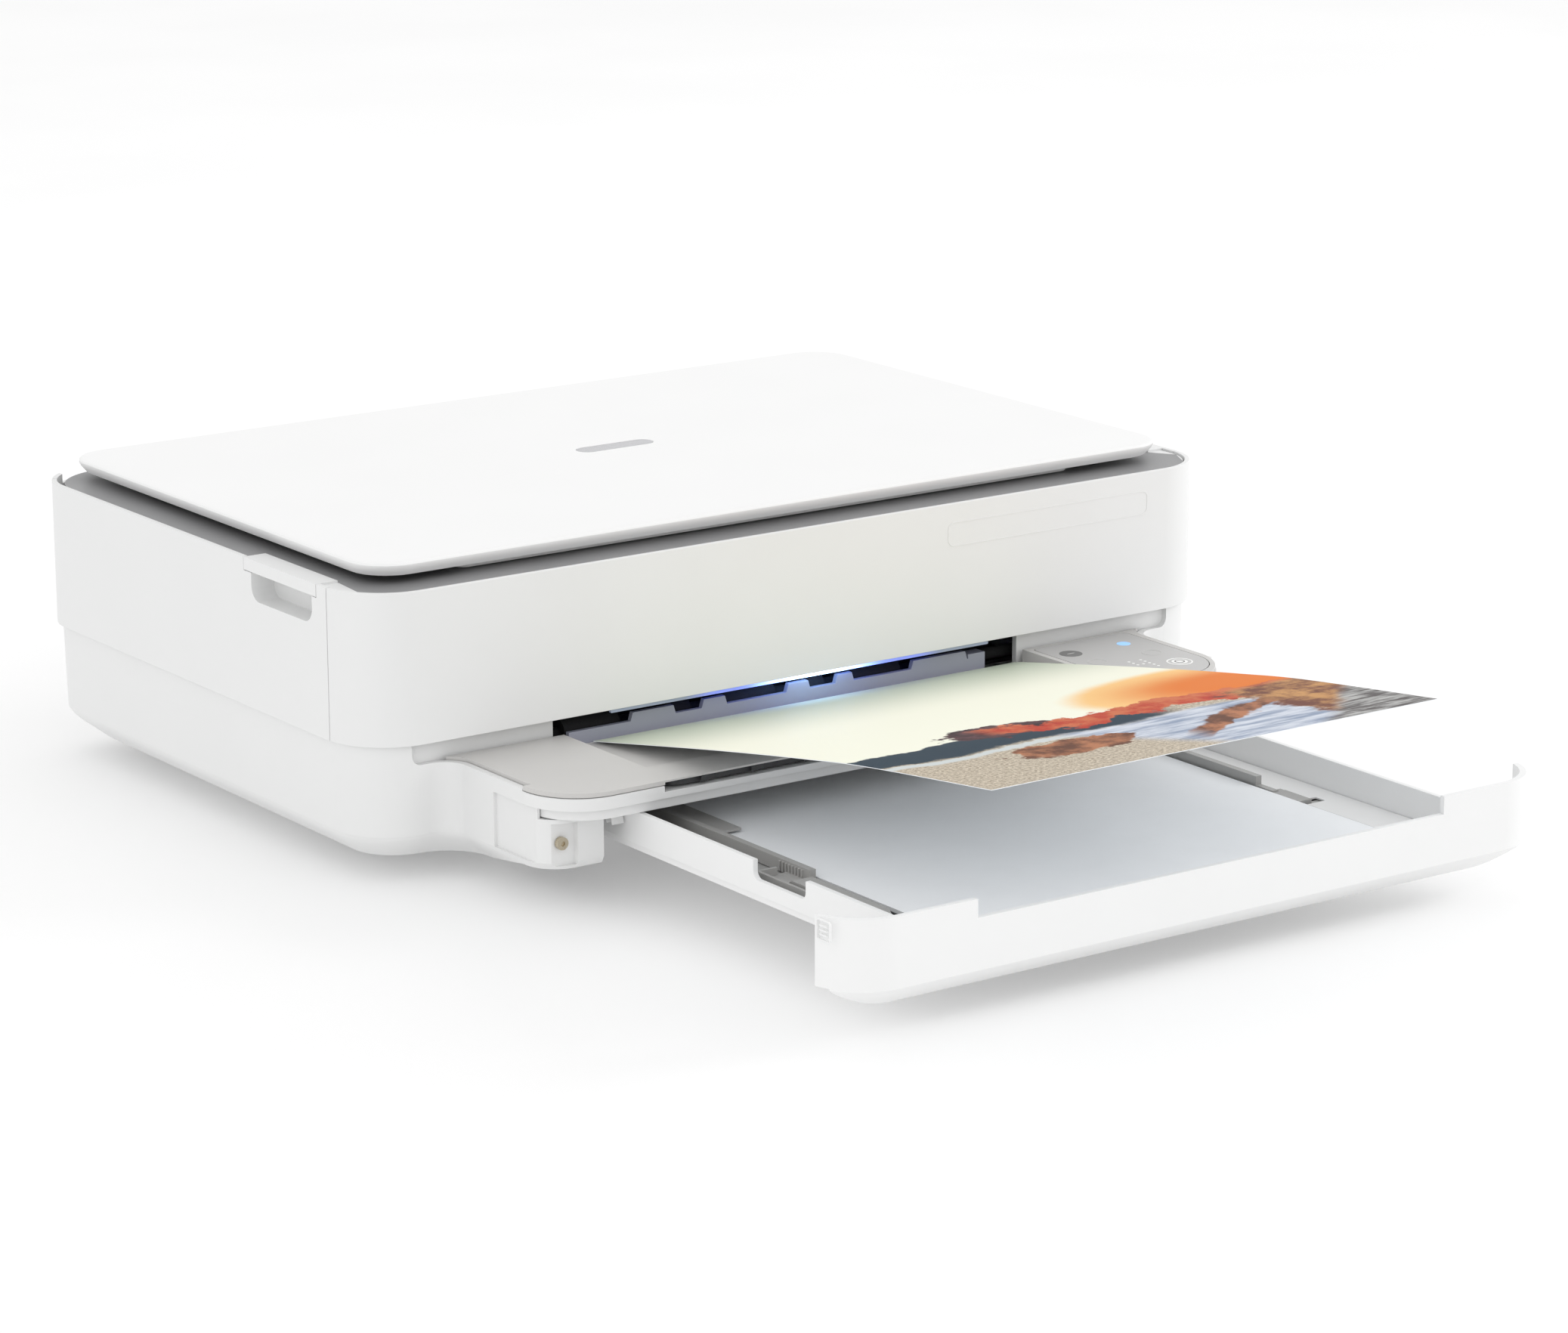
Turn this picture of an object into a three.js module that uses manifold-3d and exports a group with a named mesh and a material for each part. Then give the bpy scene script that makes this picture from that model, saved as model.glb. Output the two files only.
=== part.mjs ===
// All-in-one inkjet printer with its paper tray pulled out, a stack of paper in the tray and one
// printed sheet on the output shelf. Millimetres, +Z up, the front faces -Y, the table is z = 0.
// Inside this file y = 0 is the front face of the upper casing; the group is shifted at the end so
// that the origin is the bottom centre of the whole object.
import * as THREE from 'three';
import { mergeVertices } from 'three/addons/utils/BufferGeometryUtils.js';
import Module from 'manifold-3d';

const wasm = await Module();
wasm.setup();

// ---------------------------------------------------------------- driving dimensions
const GAP = 0.3; // left between neighbours that touch
const FAR = 400; // reach of a cutting block that runs right out of a piece

const CASING = { half: 216, back: 280, bottom: 59, top: 121.5, wall: 2.2, corner: 28 };
const FRONT_SEAM = 26.3; // y where the front fascia meets the side panels
const REAR_SEAM = 266; // y where the side panels meet the rear cover

const BASE = {
  half: 213, topHalf: 214, front: 3, back: 277, bottom: 10, top: 58.7, wall: 2.8, corner: 25, backCorner: 26,
};
const BASE_FLOOR = 12.8; // upper face of the base's floor
// [level, inset] up the base's bottom edge
const CHAMFER = [[10, 11.5], [13, 8], [16.5, 3.8], [19, 1.4], [21.5, 0]];
const SHELF_SPACE_HALF = 192; // half width of the opening in the riser above the rims
const RISER_Y = 6; // front face of the base under the fascia
const ARM = { half: 174, inner: 146, front: -64, corner: 14, inside: 10, bottom: 18.5, top: 39.3 };
const RIM = { top: 50, thick: 2.9, end: -49.3, step: 43.9, lowEnd: -57 };
const MOUTH = { left: -124.4, right: 111.4, bottom: 44 };

const SHELF = {
  left: -174, right: 170.7, front: -76, corner: 25, rightCorner: 32, top: 51.4, lip: 49.6, bottom: 44.3,
};
const BED = { left: -120.5, right: 113, front: -56, frontZ: 50.6, back: 3.6, backZ: 45.7 };
const CONTROLS = { left: 115.8, right: 167.5, front: -70, back: 1.8, corner: 4, rightCorner: 22 };
const SLOT = { half: 125, bottom: 46.9, top: 50.6, back: -57.5 };
const TRIM = { left: -174.4, right: 171.1, front: -76.5, bottom: 44.2, top: 49.3, depth: 10 };
const SUPPORT = { left: -171, right: 167.7, front: -74.4, bottom: 39.7, top: 43.9 };
const SILL = { left: -118, right: 93, front: 4, thick: 2.4, bottom: 44.3, notch: 51.6, top: 55.2 };
const SILL_TABS = [[-87, -67], [-52, -41.5], [-9.5, 0.5], [15.5, 23], [55, 82.5]];
const SCREW = { x: -164.6, z: 29.5, radius: 2.6, pocketDepth: 3 };
const EXTENDER = { pivotX: 8, pivotY: -67, length: 130, half: 7, bottom: 47.7, top: 50.3 };

const LID = {
  half: 202, front: 14.4, back: 273.8, bottom: 124.2, top: 129.8, corner: 18, rim: 6, pocketBack: 258,
};
// [level, inset] up the lid's edge
const LID_EDGE = [[124.2, 2.6], [126.2, 1], [127.8, 0.1], [128.8, 0], [129.5, 0.5], [129.8, 1.6]];
const LID_PIVOT = { y: 267, z: 127, radius: 1.7, pinRadius: 1.1 };
const HINGE_X = 150;
const LIFT_PIVOT = { y: 264.5, z: 114, radius: 2.6 };
const BEZEL = { half: 213.2, front: 2.9, back: 275, corner: 25.3, backCorner: 30, bottom: 118, top: 120.6 };
const SCAN_BAR = { left: -166, right: -144 };
const TUB = { half: 202, front: 12, back: 270, bottom: 98, wall: 2.5 };
const SCAN_ROD = { y: 138, z: 105, radius: 3 };
const ROD_HALF = TUB.half - TUB.wall - GAP;
const GLASS = { left: -152, right: 150, front: 28, back: 248, ledge: 3 };
const GRIP = { front: 34.2, back: 91.8, bottom: 116.2, inner: 205.8 };
const RECESS = { front: 37.6, back: 86, bottom: 104.7, corner: 6 }; // finger recess under each lift tab

const TRAY = { half: 135, front: -256.7, back: 30, bottom: 22.8, top: 39.2, wall: 2.4 };
const PANEL = { half: 172, front: -260, wingEnd: -241, lipEnd: -247, corner: 24, top: 47.4, notch: 40.2 };
// [level, inset] up the tray front's bottom edge
const PANEL_CHAMFER = [[10, 14], [12.6, 9.4], [16, 4.6], [18.4, 1.5], [20, 0]];
const PAPER = { half: 107.95, front: -250, back: 29.4, bottom: 26.9, top: 28.5 };
const SHEET = { half: 108, thick: 0.35, tipY: -262 };
// [y, z] along the underside of the printed sheet, from its tail at the sill to its raised tip
const SHEET_LINE = [[1.5, 46.9], [-65.5, 59.3], [-105, 66.3], [-145, 73], [-185, 79.1], [SHEET.tipY, 88]];
const GUIDE_FACE = 109.3; // x of each width guide's inner face
const PINION = { y: -172, radius: 6 };
const RACK = { bottom: 24.3, top: 25.5 };
const GUIDE = {
  floor: 26.9, bladeTop: 32.2, bladeFront: -155, bladeBack: -14, rackEnd: -124, footEnd: -116,
  pocket: { left: -127.4, front: -174.5, back: -140.5, top: 31.2 },
};
const GUIDE_SLOT = { inner: 110, outer: 122 };

const DECK = { bottom: 41.2, top: 43 };
const FRAME_X = 186; // inner face of each side frame
const FEED = { y: 74, z: 47.5, shaft: 3, roller: 5.3, teeth: 34 };
const EXIT = { y: 16.5, z: 48.5, shaft: 2.6, roller: 6.5, teeth: 12 };
const EXIT_WHEELS = [[-116, -89], [-65, -54], [-39.5, -11.5], [2.5, 13.5], [25, 53]];
const IDLER_TEETH = 35;
const MOTOR_TEETH = 12;
const GEAR_X = [-182.5, -178];
const PULLEY = { x: 172, z: 76, radius: 7, axle: 2 };
const CARRIAGE = { x: 150, half: 32, front: 22, back: 82, bottom: 55, top: 90 };
const PICK = { y: 150, z: 60, shaft: 3, rollerY: 201.8, rollerZ: 39.2, radius: 10 };
const VENT = { count: 9, left: -170, pitch: 9, width: 4.5, bottom: 72, top: 92 };
const INLET = { x0: -165, x1: -142, z0: 24, z1: 42 };
const USB = { x0: -121, x1: -105, z0: 25, z1: 38 };
const PORT_FRONT = 266; // y where the bodies of the rear sockets begin
const REAR_BUTTON_Z = 84;
const POWER_BUTTON = { x: 170, radius: 6 };
const WIRELESS_BUTTON = { x: 148, radius: 5 };
const FOOT = { x: 165, radius: 9, frontY: 60, rearY: 245 };

// ---------------------------------------------------------------- solids and booleans
function toSolid(geometry) {
  const bare = geometry.index ? geometry.toNonIndexed() : geometry.clone();
  bare.deleteAttribute('normal');
  bare.deleteAttribute('uv');
  const merged = mergeVertices(bare, 1e-3);
  return new wasm.Manifold(new wasm.Mesh({
    numProp: 3,
    vertProperties: new Float32Array(merged.attributes.position.array),
    triVerts: new Uint32Array(merged.index.array),
  }));
}

function toGeometry(solid) {
  const mesh = solid.getMesh();
  const geometry = new THREE.BufferGeometry();
  geometry.setAttribute('position', new THREE.BufferAttribute(mesh.vertProperties, 3));
  geometry.setIndex(new THREE.BufferAttribute(mesh.triVerts, 1));
  geometry.computeVertexNormals();
  return geometry;
}

function join(...pieces) {
  return toGeometry(pieces.map(toSolid).reduce((a, b) => a.add(b)));
}

function cut(piece, ...tools) {
  return toGeometry(tools.map(toSolid).reduce((a, b) => a.subtract(b), toSolid(piece)));
}

function clip(piece, region) {
  return toGeometry(toSolid(piece).intersect(toSolid(region)));
}

// ---------------------------------------------------------------- primitive shapes
function box(x0, x1, y0, y1, z0, z1) {
  const geometry = new THREE.BoxGeometry(x1 - x0, y1 - y0, z1 - z0);
  return geometry.translate((x0 + x1) / 2, (y0 + y1) / 2, (z0 + z1) / 2);
}

function prism(shape, z0, z1, segments = 10) {
  const options = { depth: z1 - z0, bevelEnabled: false, curveSegments: segments };
  return new THREE.ExtrudeGeometry(shape, options).translate(0, 0, z0);
}

// Turns a prism drawn in the x-y plane so that its outline lies in y-z and its depth runs along X.
function alongX(geometry) {
  const basis = new THREE.Matrix4().makeBasis(
    new THREE.Vector3(0, 1, 0), new THREE.Vector3(0, 0, 1), new THREE.Vector3(1, 0, 0));
  return geometry.applyMatrix4(basis);
}

// Turns a prism drawn in the x-y plane so that its outline lies in x-z and its depth runs along -Y.
function alongY(geometry) {
  return geometry.rotateX(Math.PI / 2);
}

function roundedRect(x0, x1, y0, y1, r) {
  const shape = new THREE.Shape();
  shape.moveTo(x0 + r, y0);
  shape.lineTo(x1 - r, y0);
  shape.absarc(x1 - r, y0 + r, r, -Math.PI / 2, 0, false);
  shape.lineTo(x1, y1 - r);
  shape.absarc(x1 - r, y1 - r, r, 0, Math.PI / 2, false);
  shape.lineTo(x0 + r, y1);
  shape.absarc(x0 + r, y1 - r, r, Math.PI / 2, Math.PI, false);
  shape.lineTo(x0, y0 + r);
  shape.absarc(x0 + r, y0 + r, r, Math.PI, Math.PI * 1.5, false);
  return shape;
}

function cylinder(r, length, segments) {
  return new THREE.CylinderGeometry(r, r, length, segments);
}

function rodX(x0, x1, y, z, r, segments = 16) {
  return cylinder(r, x1 - x0, segments).rotateZ(Math.PI / 2).translate((x0 + x1) / 2, y, z);
}

function rodY(x, y0, y1, z, r, segments = 16) {
  return cylinder(r, y1 - y0, segments).translate(x, (y0 + y1) / 2, z);
}

function rodZ(x, y, z0, z1, r, segments = 16) {
  return cylinder(r, z1 - z0, segments).rotateX(Math.PI / 2).translate(x, y, (z0 + z1) / 2);
}

function mirrored(geometry) {
  const flipped = geometry.clone().applyMatrix4(new THREE.Matrix4().makeScale(-1, 1, 1));
  const index = flipped.index.array;
  for (let i = 0; i < index.length; i += 3) {
    const kept = index[i];
    index[i] = index[i + 1];
    index[i + 1] = kept;
  }
  return flipped;
}

// Skins a closed stack of rings. Every ring has the same number of points, anticlockwise from above.
function loft(rings) {
  const count = rings[0].points.length;
  const positions = rings.flatMap(({ z, points }) => points.flatMap((p) => [p.x, p.y, z]));
  const faces = [];
  for (let r = 0; r + 1 < rings.length; r += 1) {
    for (let i = 0; i < count; i += 1) {
      const a = r * count + i;
      const b = r * count + ((i + 1) % count);
      faces.push(a, b, b + count, a, b + count, a + count);
    }
  }
  const topStart = (rings.length - 1) * count;
  for (const [i, j, k] of THREE.ShapeUtils.triangulateShape(rings[0].points, [])) {
    faces.push(k, j, i);
  }
  for (const [i, j, k] of THREE.ShapeUtils.triangulateShape(rings.at(-1).points, [])) {
    faces.push(topStart + i, topStart + j, topStart + k);
  }
  const geometry = new THREE.BufferGeometry();
  geometry.setAttribute('position', new THREE.Float32BufferAttribute(positions, 3));
  geometry.setIndex(faces);
  geometry.computeVertexNormals();
  return geometry;
}

function arcPoints(cx, cy, r, from, to, steps) {
  return Array.from({ length: steps + 1 }, (_, i) => {
    const angle = THREE.MathUtils.degToRad(from + ((to - from) * i) / steps);
    return new THREE.Vector2(cx + r * Math.cos(angle), cy + r * Math.sin(angle));
  });
}

function mirrorRing(rightHalf) {
  const leftHalf = rightHalf.map((p) => new THREE.Vector2(-p.x, p.y)).reverse();
  return [...rightHalf, ...leftHalf];
}

function roundedRing(x1, y0, y1, r, steps = 10) {
  const half = [
    ...arcPoints(x1 - r, y0 + r, r, -90, 0, steps),
    ...arcPoints(x1 - r, y1 - r, r, 0, 90, steps),
  ];
  return mirrorRing(half);
}

// ---------------------------------------------------------------- gears
function toothedShape(teeth, radius, phase, addendum = 0.8, dedendum = 1.2) {
  const pitch = (2 * Math.PI) / teeth;
  const corners = [
    [-0.24, radius - dedendum],
    [-0.12, radius + addendum],
    [0.12, radius + addendum],
    [0.24, radius - dedendum],
  ];
  const points = [];
  for (let i = 0; i < teeth; i += 1) {
    for (const [share, r] of corners) {
      const angle = phase + (i + share) * pitch;
      points.push(new THREE.Vector2(r * Math.cos(angle), r * Math.sin(angle)));
    }
  }
  return new THREE.Shape(points);
}

function gearX(teeth, centre, phase) {
  const blank = prism(toothedShape(teeth, teeth / 2, phase), GEAR_X[0], GEAR_X[1]);
  return alongX(blank).translate(0, centre.y, centre.z);
}

// Turn of gear B that puts its gaps opposite gear A's teeth on their line of centres.
function meshPhase(a, b) {
  const direction = Math.atan2(b.z - a.z, b.y - a.y);
  const share = ((direction - a.phase) * a.teeth) / (2 * Math.PI);
  return direction + Math.PI - ((0.5 - share) * 2 * Math.PI) / b.teeth;
}

// ---------------------------------------------------------------- materials
const finish = {
  whitePlastic: { color: 0xf1f1f0, roughness: 0.55, metalness: 0 },
  shelfGrey: { color: 0xcdcac7, roughness: 0.5, metalness: 0 },
  bezelGrey: { color: 0x98989a, roughness: 0.5, metalness: 0 },
  guideGrey: { color: 0xc2bfbb, roughness: 0.5, metalness: 0 },
  darkPlastic: { color: 0x2a2b2d, roughness: 0.5, metalness: 0 },
  rubber: { color: 0x1c1c1d, roughness: 0.9, metalness: 0 },
  steel: { color: 0xb9bbbe, roughness: 0.3, metalness: 1 },
  gearWhite: { color: 0xe6e4dc, roughness: 0.45, metalness: 0 },
  glass: { color: 0xa8b4b4, roughness: 0.05, metalness: 0 },
  light: { color: 0x4a7dff, roughness: 0.3, metalness: 0 },
  paper: { color: 0xfbfbfa, roughness: 0.85, metalness: 0 },
  board: { color: 0x1f5b35, roughness: 0.5, metalness: 0 },
};
const materials = Object.fromEntries(
  Object.entries(finish).map(([name, look]) => [name, new THREE.MeshStandardMaterial(look)]));

const printer = new THREE.Group();

function add(name, geometry, material) {
  const mesh = new THREE.Mesh(geometry, materials[material]);
  mesh.name = name;
  printer.add(mesh);
}

function addPair(name, leftGeometry, material) {
  add(`${name}_left`, leftGeometry, material);
  add(`${name}_right`, mirrored(leftGeometry), material);
}

// ---------------------------------------------------------------- base
// Plan of the base at one level, drawn inwards by inset: a wide body whose front corners sweep in
// through an S-curve to two arms under the shelf.
function baseRing(half, inset) {
  const armX = ARM.half - inset;
  const insideRadius = ARM.inside + inset;
  const frontY = BASE.front + inset;
  const corner = BASE.corner - inset * 0.5;
  const armFront = ARM.front + inset;
  const sideX = half - inset;
  const back = BASE.back - inset;
  const rightHalf = [
    ...arcPoints(armX - ARM.corner, armFront + ARM.corner, ARM.corner, -90, 0, 6),
    ...arcPoints(armX + insideRadius, frontY - insideRadius, insideRadius, 180, 90, 7),
    ...arcPoints(sideX - corner, frontY + corner, corner, -90, 0, 10),
    ...arcPoints(sideX - BASE.backCorner, back - BASE.backCorner, BASE.backCorner, 0, 90, 10),
  ];
  return mirrorRing(rightHalf);
}

function portHole({ x0, x1, z0, z1 }) {
  return box(x0 - 0.5, x1 + 0.5, 260, 290, z0 - 0.5, z1 + 0.5);
}

function lowerCasing() {
  const chamferTop = CHAMFER.at(-1)[0];
  const rings = CHAMFER.map(([z, inset]) => ({ z, points: baseRing(BASE.half, inset) }));
  rings.push({ z: BASE.top, points: baseRing(BASE.topHalf, 0) });
  const outside = loft(rings);

  const inFront = RISER_Y + BASE.wall;
  const inBack = BASE.back - BASE.wall;
  const inHalf = BASE.half - BASE.wall;
  const cavity = loft([
    { z: BASE_FLOOR, points: roundedRing(inHalf - 10.5, inFront + 3, inBack - 10.5, 18) },
    { z: chamferTop, points: roundedRing(inHalf, inFront, inBack, 23) },
    { z: BASE.top + 2, points: roundedRing(inHalf + 1, inFront, inBack, 23) },
  ]);
  const shelfSpace = alongY(prism(
    roundedRect(-SHELF_SPACE_HALF, SHELF_SPACE_HALF, RIM.top, 80, 4), -RISER_Y, 90));
  const nest = clip(
    prism(new THREE.Shape(baseRing(BASE.half, RIM.thick)), ARM.top, 70),
    box(-FAR, FAR, -FAR, RISER_Y, 0, FAR));
  const nestFront = box(-171, 171, ARM.front - 5, -30, ARM.top, 70);
  const rimEnd = box(-FAR, FAR, -FAR, RIM.end, RIM.step, FAR);
  const lowRimEnd = box(-FAR, FAR, -FAR, RIM.lowEnd, ARM.top, FAR);
  const bay = box(-ARM.inner, ARM.inner, -FAR, 0, 0, 46);
  const bayDoor = box(-ARM.inner, ARM.inner, -FAR, inFront + 5, BASE_FLOOR, MOUTH.bottom - GAP);
  const mouth = box(MOUTH.left, MOUTH.right, 0, inFront + 3, MOUTH.bottom, 70);
  const shell = cut(
    outside, cavity, shelfSpace, nest, nestFront, rimEnd, lowRimEnd, bay, bayDoor, mouth);

  const underArm = new THREE.Shape([
    new THREE.Vector2(-8, 0), new THREE.Vector2(-8, BASE.bottom), new THREE.Vector2(-46, ARM.bottom),
    new THREE.Vector2(-90, ARM.bottom), new THREE.Vector2(-90, 0)]);
  const wedge = alongX(prism(underArm, -FAR, FAR));
  const wingRecess = box(172.6, FAR, ARM.front - 5, -28, chamferTop, RIM.step);
  const screwPocket = box(
    SCREW.x - 4.9, SCREW.x + 6.6, ARM.front - 5, ARM.front + SCREW.pocketDepth, 20, ARM.top - 1.8);
  const inlet = portHole(INLET);
  const usb = portHole(USB);
  const carved = cut(shell, wedge, wingRecess, mirrored(toGeometry(toSolid(wingRecess))), screwPocket,
    mirrored(toGeometry(toSolid(screwPocket))), inlet, usb);

  // Ledges that the tray slides on, with a fence beside each.
  const ledge = box(129, 140, inFront + 3, 215, BASE_FLOOR - 0.8, TRAY.bottom - 0.5);
  const fence = box(137.5, 140, inFront + 3, 215, BASE_FLOOR - 0.8, 37);
  const runner = join(ledge, fence);
  return join(carved, runner, mirrored(runner));
}

function casingRing(y0, y1) {
  const { half, back, bottom, top, wall, corner } = CASING;
  const outer = prism(roundedRect(-half, half, 0, back, corner), bottom, top, 12);
  const inner = prism(
    roundedRect(-half + wall, half - wall, wall, back - wall, corner - wall), bottom - 1, top + 1, 12);
  return clip(cut(outer, inner), box(-FAR, FAR, y0, y1, 0, FAR));
}

// Side panel of the upper casing, with the finger recess below the scanner's lift tab and the stub
// that the scanner turns on.
function leftSidePanel() {
  const wallInside = -CASING.half + CASING.wall;
  const wall = clip(
    casingRing(FRONT_SEAM + GAP / 2, REAR_SEAM - GAP / 2), box(-FAR, 0, -FAR, FAR, 0, FAR));
  const cup = box(wallInside - 1, -203.4, 35, 88.6, 102, GRIP.bottom - GAP);
  const fingerHole = alongX(prism(
    roundedRect(RECESS.front, RECESS.back, RECESS.bottom, 140, RECESS.corner), -FAR, -GRIP.inner + 0.2, 5));
  const tabNotch = box(-FAR, wallInside + 1, GRIP.front - GAP, GRIP.back + GAP, GRIP.bottom - GAP, 140);
  const boss = box(-CASING.half, -207, 259.5, REAR_SEAM - GAP / 2, 109, 117.4);
  const stub = rodX(-208.4, -198.6, LIFT_PIVOT.y, LIFT_PIVOT.z, LIFT_PIVOT.radius);
  const skin = prism(
    roundedRect(-CASING.half, CASING.half, 0, CASING.back, CASING.corner), CASING.bottom, CASING.top, 12);
  return cut(clip(join(wall, cup, boss, stub), skin), fingerHole, tabNotch);
}

function rearCover() {
  const ring = casingRing(REAR_SEAM + GAP / 2, FAR);
  const lowTop = box(-204, 204, 270, FAR, 117.5, FAR);
  const holes = [POWER_BUTTON, WIRELESS_BUTTON]
    .map(({ x, radius }) => rodY(x, 270, 290, REAR_BUTTON_Z, radius + 0.4));
  const vents = Array.from({ length: VENT.count }, (_, i) => {
    const x = VENT.left + i * VENT.pitch;
    return box(x, x + VENT.width, 270, 290, VENT.bottom, VENT.top);
  });
  return cut(ring, lowTop, ...holes, ...vents);
}

function rearButton({ x, radius }) {
  return join(
    rodY(x, 273, CASING.back - 0.1, REAR_BUTTON_Z, radius),
    rodY(x, 272, 274.5, REAR_BUTTON_Z, radius + 1.8));
}

add('lower_casing', lowerCasing(), 'whitePlastic');
add('front_fascia', casingRing(-FAR, FRONT_SEAM - GAP / 2), 'whitePlastic');
addPair('side_panel', leftSidePanel(), 'whitePlastic');
add('rear_cover', rearCover(), 'whitePlastic');
add('power_button', rearButton(POWER_BUTTON), 'shelfGrey');
add('wireless_button', rearButton(WIRELESS_BUTTON), 'shelfGrey');

for (const [end, y] of [['front', FOOT.frontY], ['rear', FOOT.rearY]]) {
  for (const [side, x] of [['left', -FOOT.x], ['right', FOOT.x]]) {
    add(`foot_${end}_${side}`, rodZ(x, y, 0, BASE.bottom - GAP, FOOT.radius), 'rubber');
  }
}

function armScrew() {
  const back = ARM.front + SCREW.pocketDepth - 0.4;
  const head = rodY(SCREW.x, back - 2, back, SCREW.z, SCREW.radius);
  const socket = rodY(SCREW.x, back - 3, back - 1.1, SCREW.z, 1.1, 6);
  return cut(head, socket);
}
addPair('arm_screw', armScrew(), 'steel');

function powerInlet() {
  const { x0, x1, z0, z1 } = INLET;
  const block = box(x0, x1, PORT_FRONT, BASE.back - 0.4, z0, z1);
  const mouth = alongY(prism(
    roundedRect(x0 + 2.5, x1 - 2.5, z0 + 4, z1 - 4, 4.9), -290, -PORT_FRONT - 2.5, 6));
  const middle = (x0 + x1) / 2;
  const pins = [middle - 4.3, middle + 4.3].map((x) => rodY(x, 267, 275, (z0 + z1) / 2, 1.2, 10));
  return join(cut(block, mouth), ...pins);
}

function usbPort() {
  const { x0, x1, z0, z1 } = USB;
  return cut(
    box(x0, x1, PORT_FRONT, BASE.back - 0.4, z0, z1),
    box(x0 + 3.5, x1 - 3.5, PORT_FRONT + 2, 290, z0 + 2.5, z1 - 2));
}
add('power_inlet', powerInlet(), 'darkPlastic');
add('usb_port', usbPort(), 'steel');

// ---------------------------------------------------------------- output shelf
// Slab over a rectangle whose front right corner is rounder than the other three.
function noseSlab(left, right, front, back, corner, rightCorner, z0, z1) {
  const plan = prism(roundedRect(left, right, front, back, corner), z0, z1, 12);
  const beyond = 100;
  const rounder = prism(
    roundedRect(left - beyond, right, front, back + beyond, rightCorner), z0, z1, 12);
  return clip(plan, rounder);
}

// Plan of the shelf: narrow where it nests between the rims, and wider on the left in front of them.
function shelfPlan(z0, z1) {
  const { left, right, front, corner, rightCorner } = SHELF;
  const nose = noseSlab(left, right, front, front + 80, corner, rightCorner, z0, z1);
  const inNest = prism(new THREE.Shape(baseRing(BASE.half, RIM.thick + 0.4)), z0, z1);
  const frontPart = clip(nose, box(-FAR, FAR, -FAR, RIM.end - 0.4, 0, FAR));
  const backPart = clip(inNest, box(-FAR, FAR, RIM.end - 0.5, SILL.front - GAP, 0, FAR));
  return join(frontPart, backPart);
}

function controlsSlab(inset, z0, z1) {
  const { left, right, front, back, corner, rightCorner } = CONTROLS;
  return noseSlab(
    left + inset, right - inset, front + inset, back - inset,
    corner - inset, rightCorner - inset, z0, z1);
}

function outputShelf() {
  const top = shelfPlan(SHELF.lip, SHELF.top);
  const inset = TRIM.depth + 0.7;
  const body = clip(
    noseSlab(
      -170.5 + inset, 170.5 - inset, SHELF.front + inset, 80, 15, 22,
      SHELF.bottom, SHELF.top - 1),
    box(-FAR, FAR, -FAR, SILL.front - GAP, 0, FAR));
  const wings = clip(
    shelfPlan(SHELF.bottom, SHELF.top - 1),
    box(-FAR, FAR, RIM.end + 12, FAR, 0, FAR));
  const bed = new THREE.Shape([
    new THREE.Vector2(BED.front, SHELF.top + 5), new THREE.Vector2(BED.front, BED.frontZ),
    new THREE.Vector2(BED.back + 5, BED.backZ), new THREE.Vector2(BED.back + 5, SHELF.top + 5)]);
  const bedCut = alongX(prism(bed, BED.left, BED.right));
  const slot = box(-SLOT.half, SLOT.half, -FAR, SLOT.back, SLOT.bottom, SLOT.top);
  const controlsPocket = controlsSlab(0, SHELF.top - 1.2, 60);
  return cut(join(top, body, wings), bedCut, slot, controlsPocket);
}

function shelfTrim() {
  const { left, right, front, depth, bottom, top } = TRIM;
  const { corner, rightCorner } = SHELF;
  const band = noseSlab(left, right, front, 20, corner, rightCorner, bottom, top);
  const inside = noseSlab(
    left + depth, right - depth, front + depth, 40,
    corner - depth + 0.4, rightCorner - depth + 0.4, 0, FAR);
  const behind = box(-FAR, FAR, RIM.end - 0.4, FAR, 0, FAR);
  const slot = box(-SLOT.half - 0.5, SLOT.half + 0.5, -FAR, FAR, SLOT.bottom, FAR);
  return cut(band, inside, behind, slot);
}

function shelfSupport() {
  const { left, right, front, bottom, top } = SUPPORT;
  const nestHalf = ARM.half - RIM.thick - 0.5;
  const plate = noseSlab(left, right, front, 80, 23, 30, bottom, top);
  return clip(plate, box(-nestHalf, nestHalf, -FAR, BASE.front - 0.6, 0, FAR));
}

function extenderArm() {
  const { pivotX, pivotY, length, half, bottom, top } = EXTENDER;
  const tip = pivotX - length;
  const arm = prism(
    roundedRect(tip, pivotX + half, pivotY - half, pivotY + half, half - 0.1), bottom, top, 6);
  const grooves = [-4.6, -1.2, 2.2].map((y) => box(
    tip + 14, pivotX - 14, pivotY + y, pivotY + y + 2.4, top - 1, top + 1));
  return cut(arm, ...grooves);
}

function outputSill() {
  const { left, right, front, thick, bottom, notch, top } = SILL;
  const rail = box(left, right, front, front + thick, bottom, notch);
  const tabs = SILL_TABS.map(([x0, x1]) => {
    const outline = new THREE.Shape([
      new THREE.Vector2(x0 - 1.4, notch - 1), new THREE.Vector2(x1 + 1.4, notch - 1),
      new THREE.Vector2(x1, top), new THREE.Vector2(x0, top)]);
    return alongY(prism(outline, -front - thick, -front));
  });
  const post = box(right - 9, right, front, front + thick + 4, notch - 2, 53.5);
  return join(rail, ...tabs, post);
}

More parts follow.
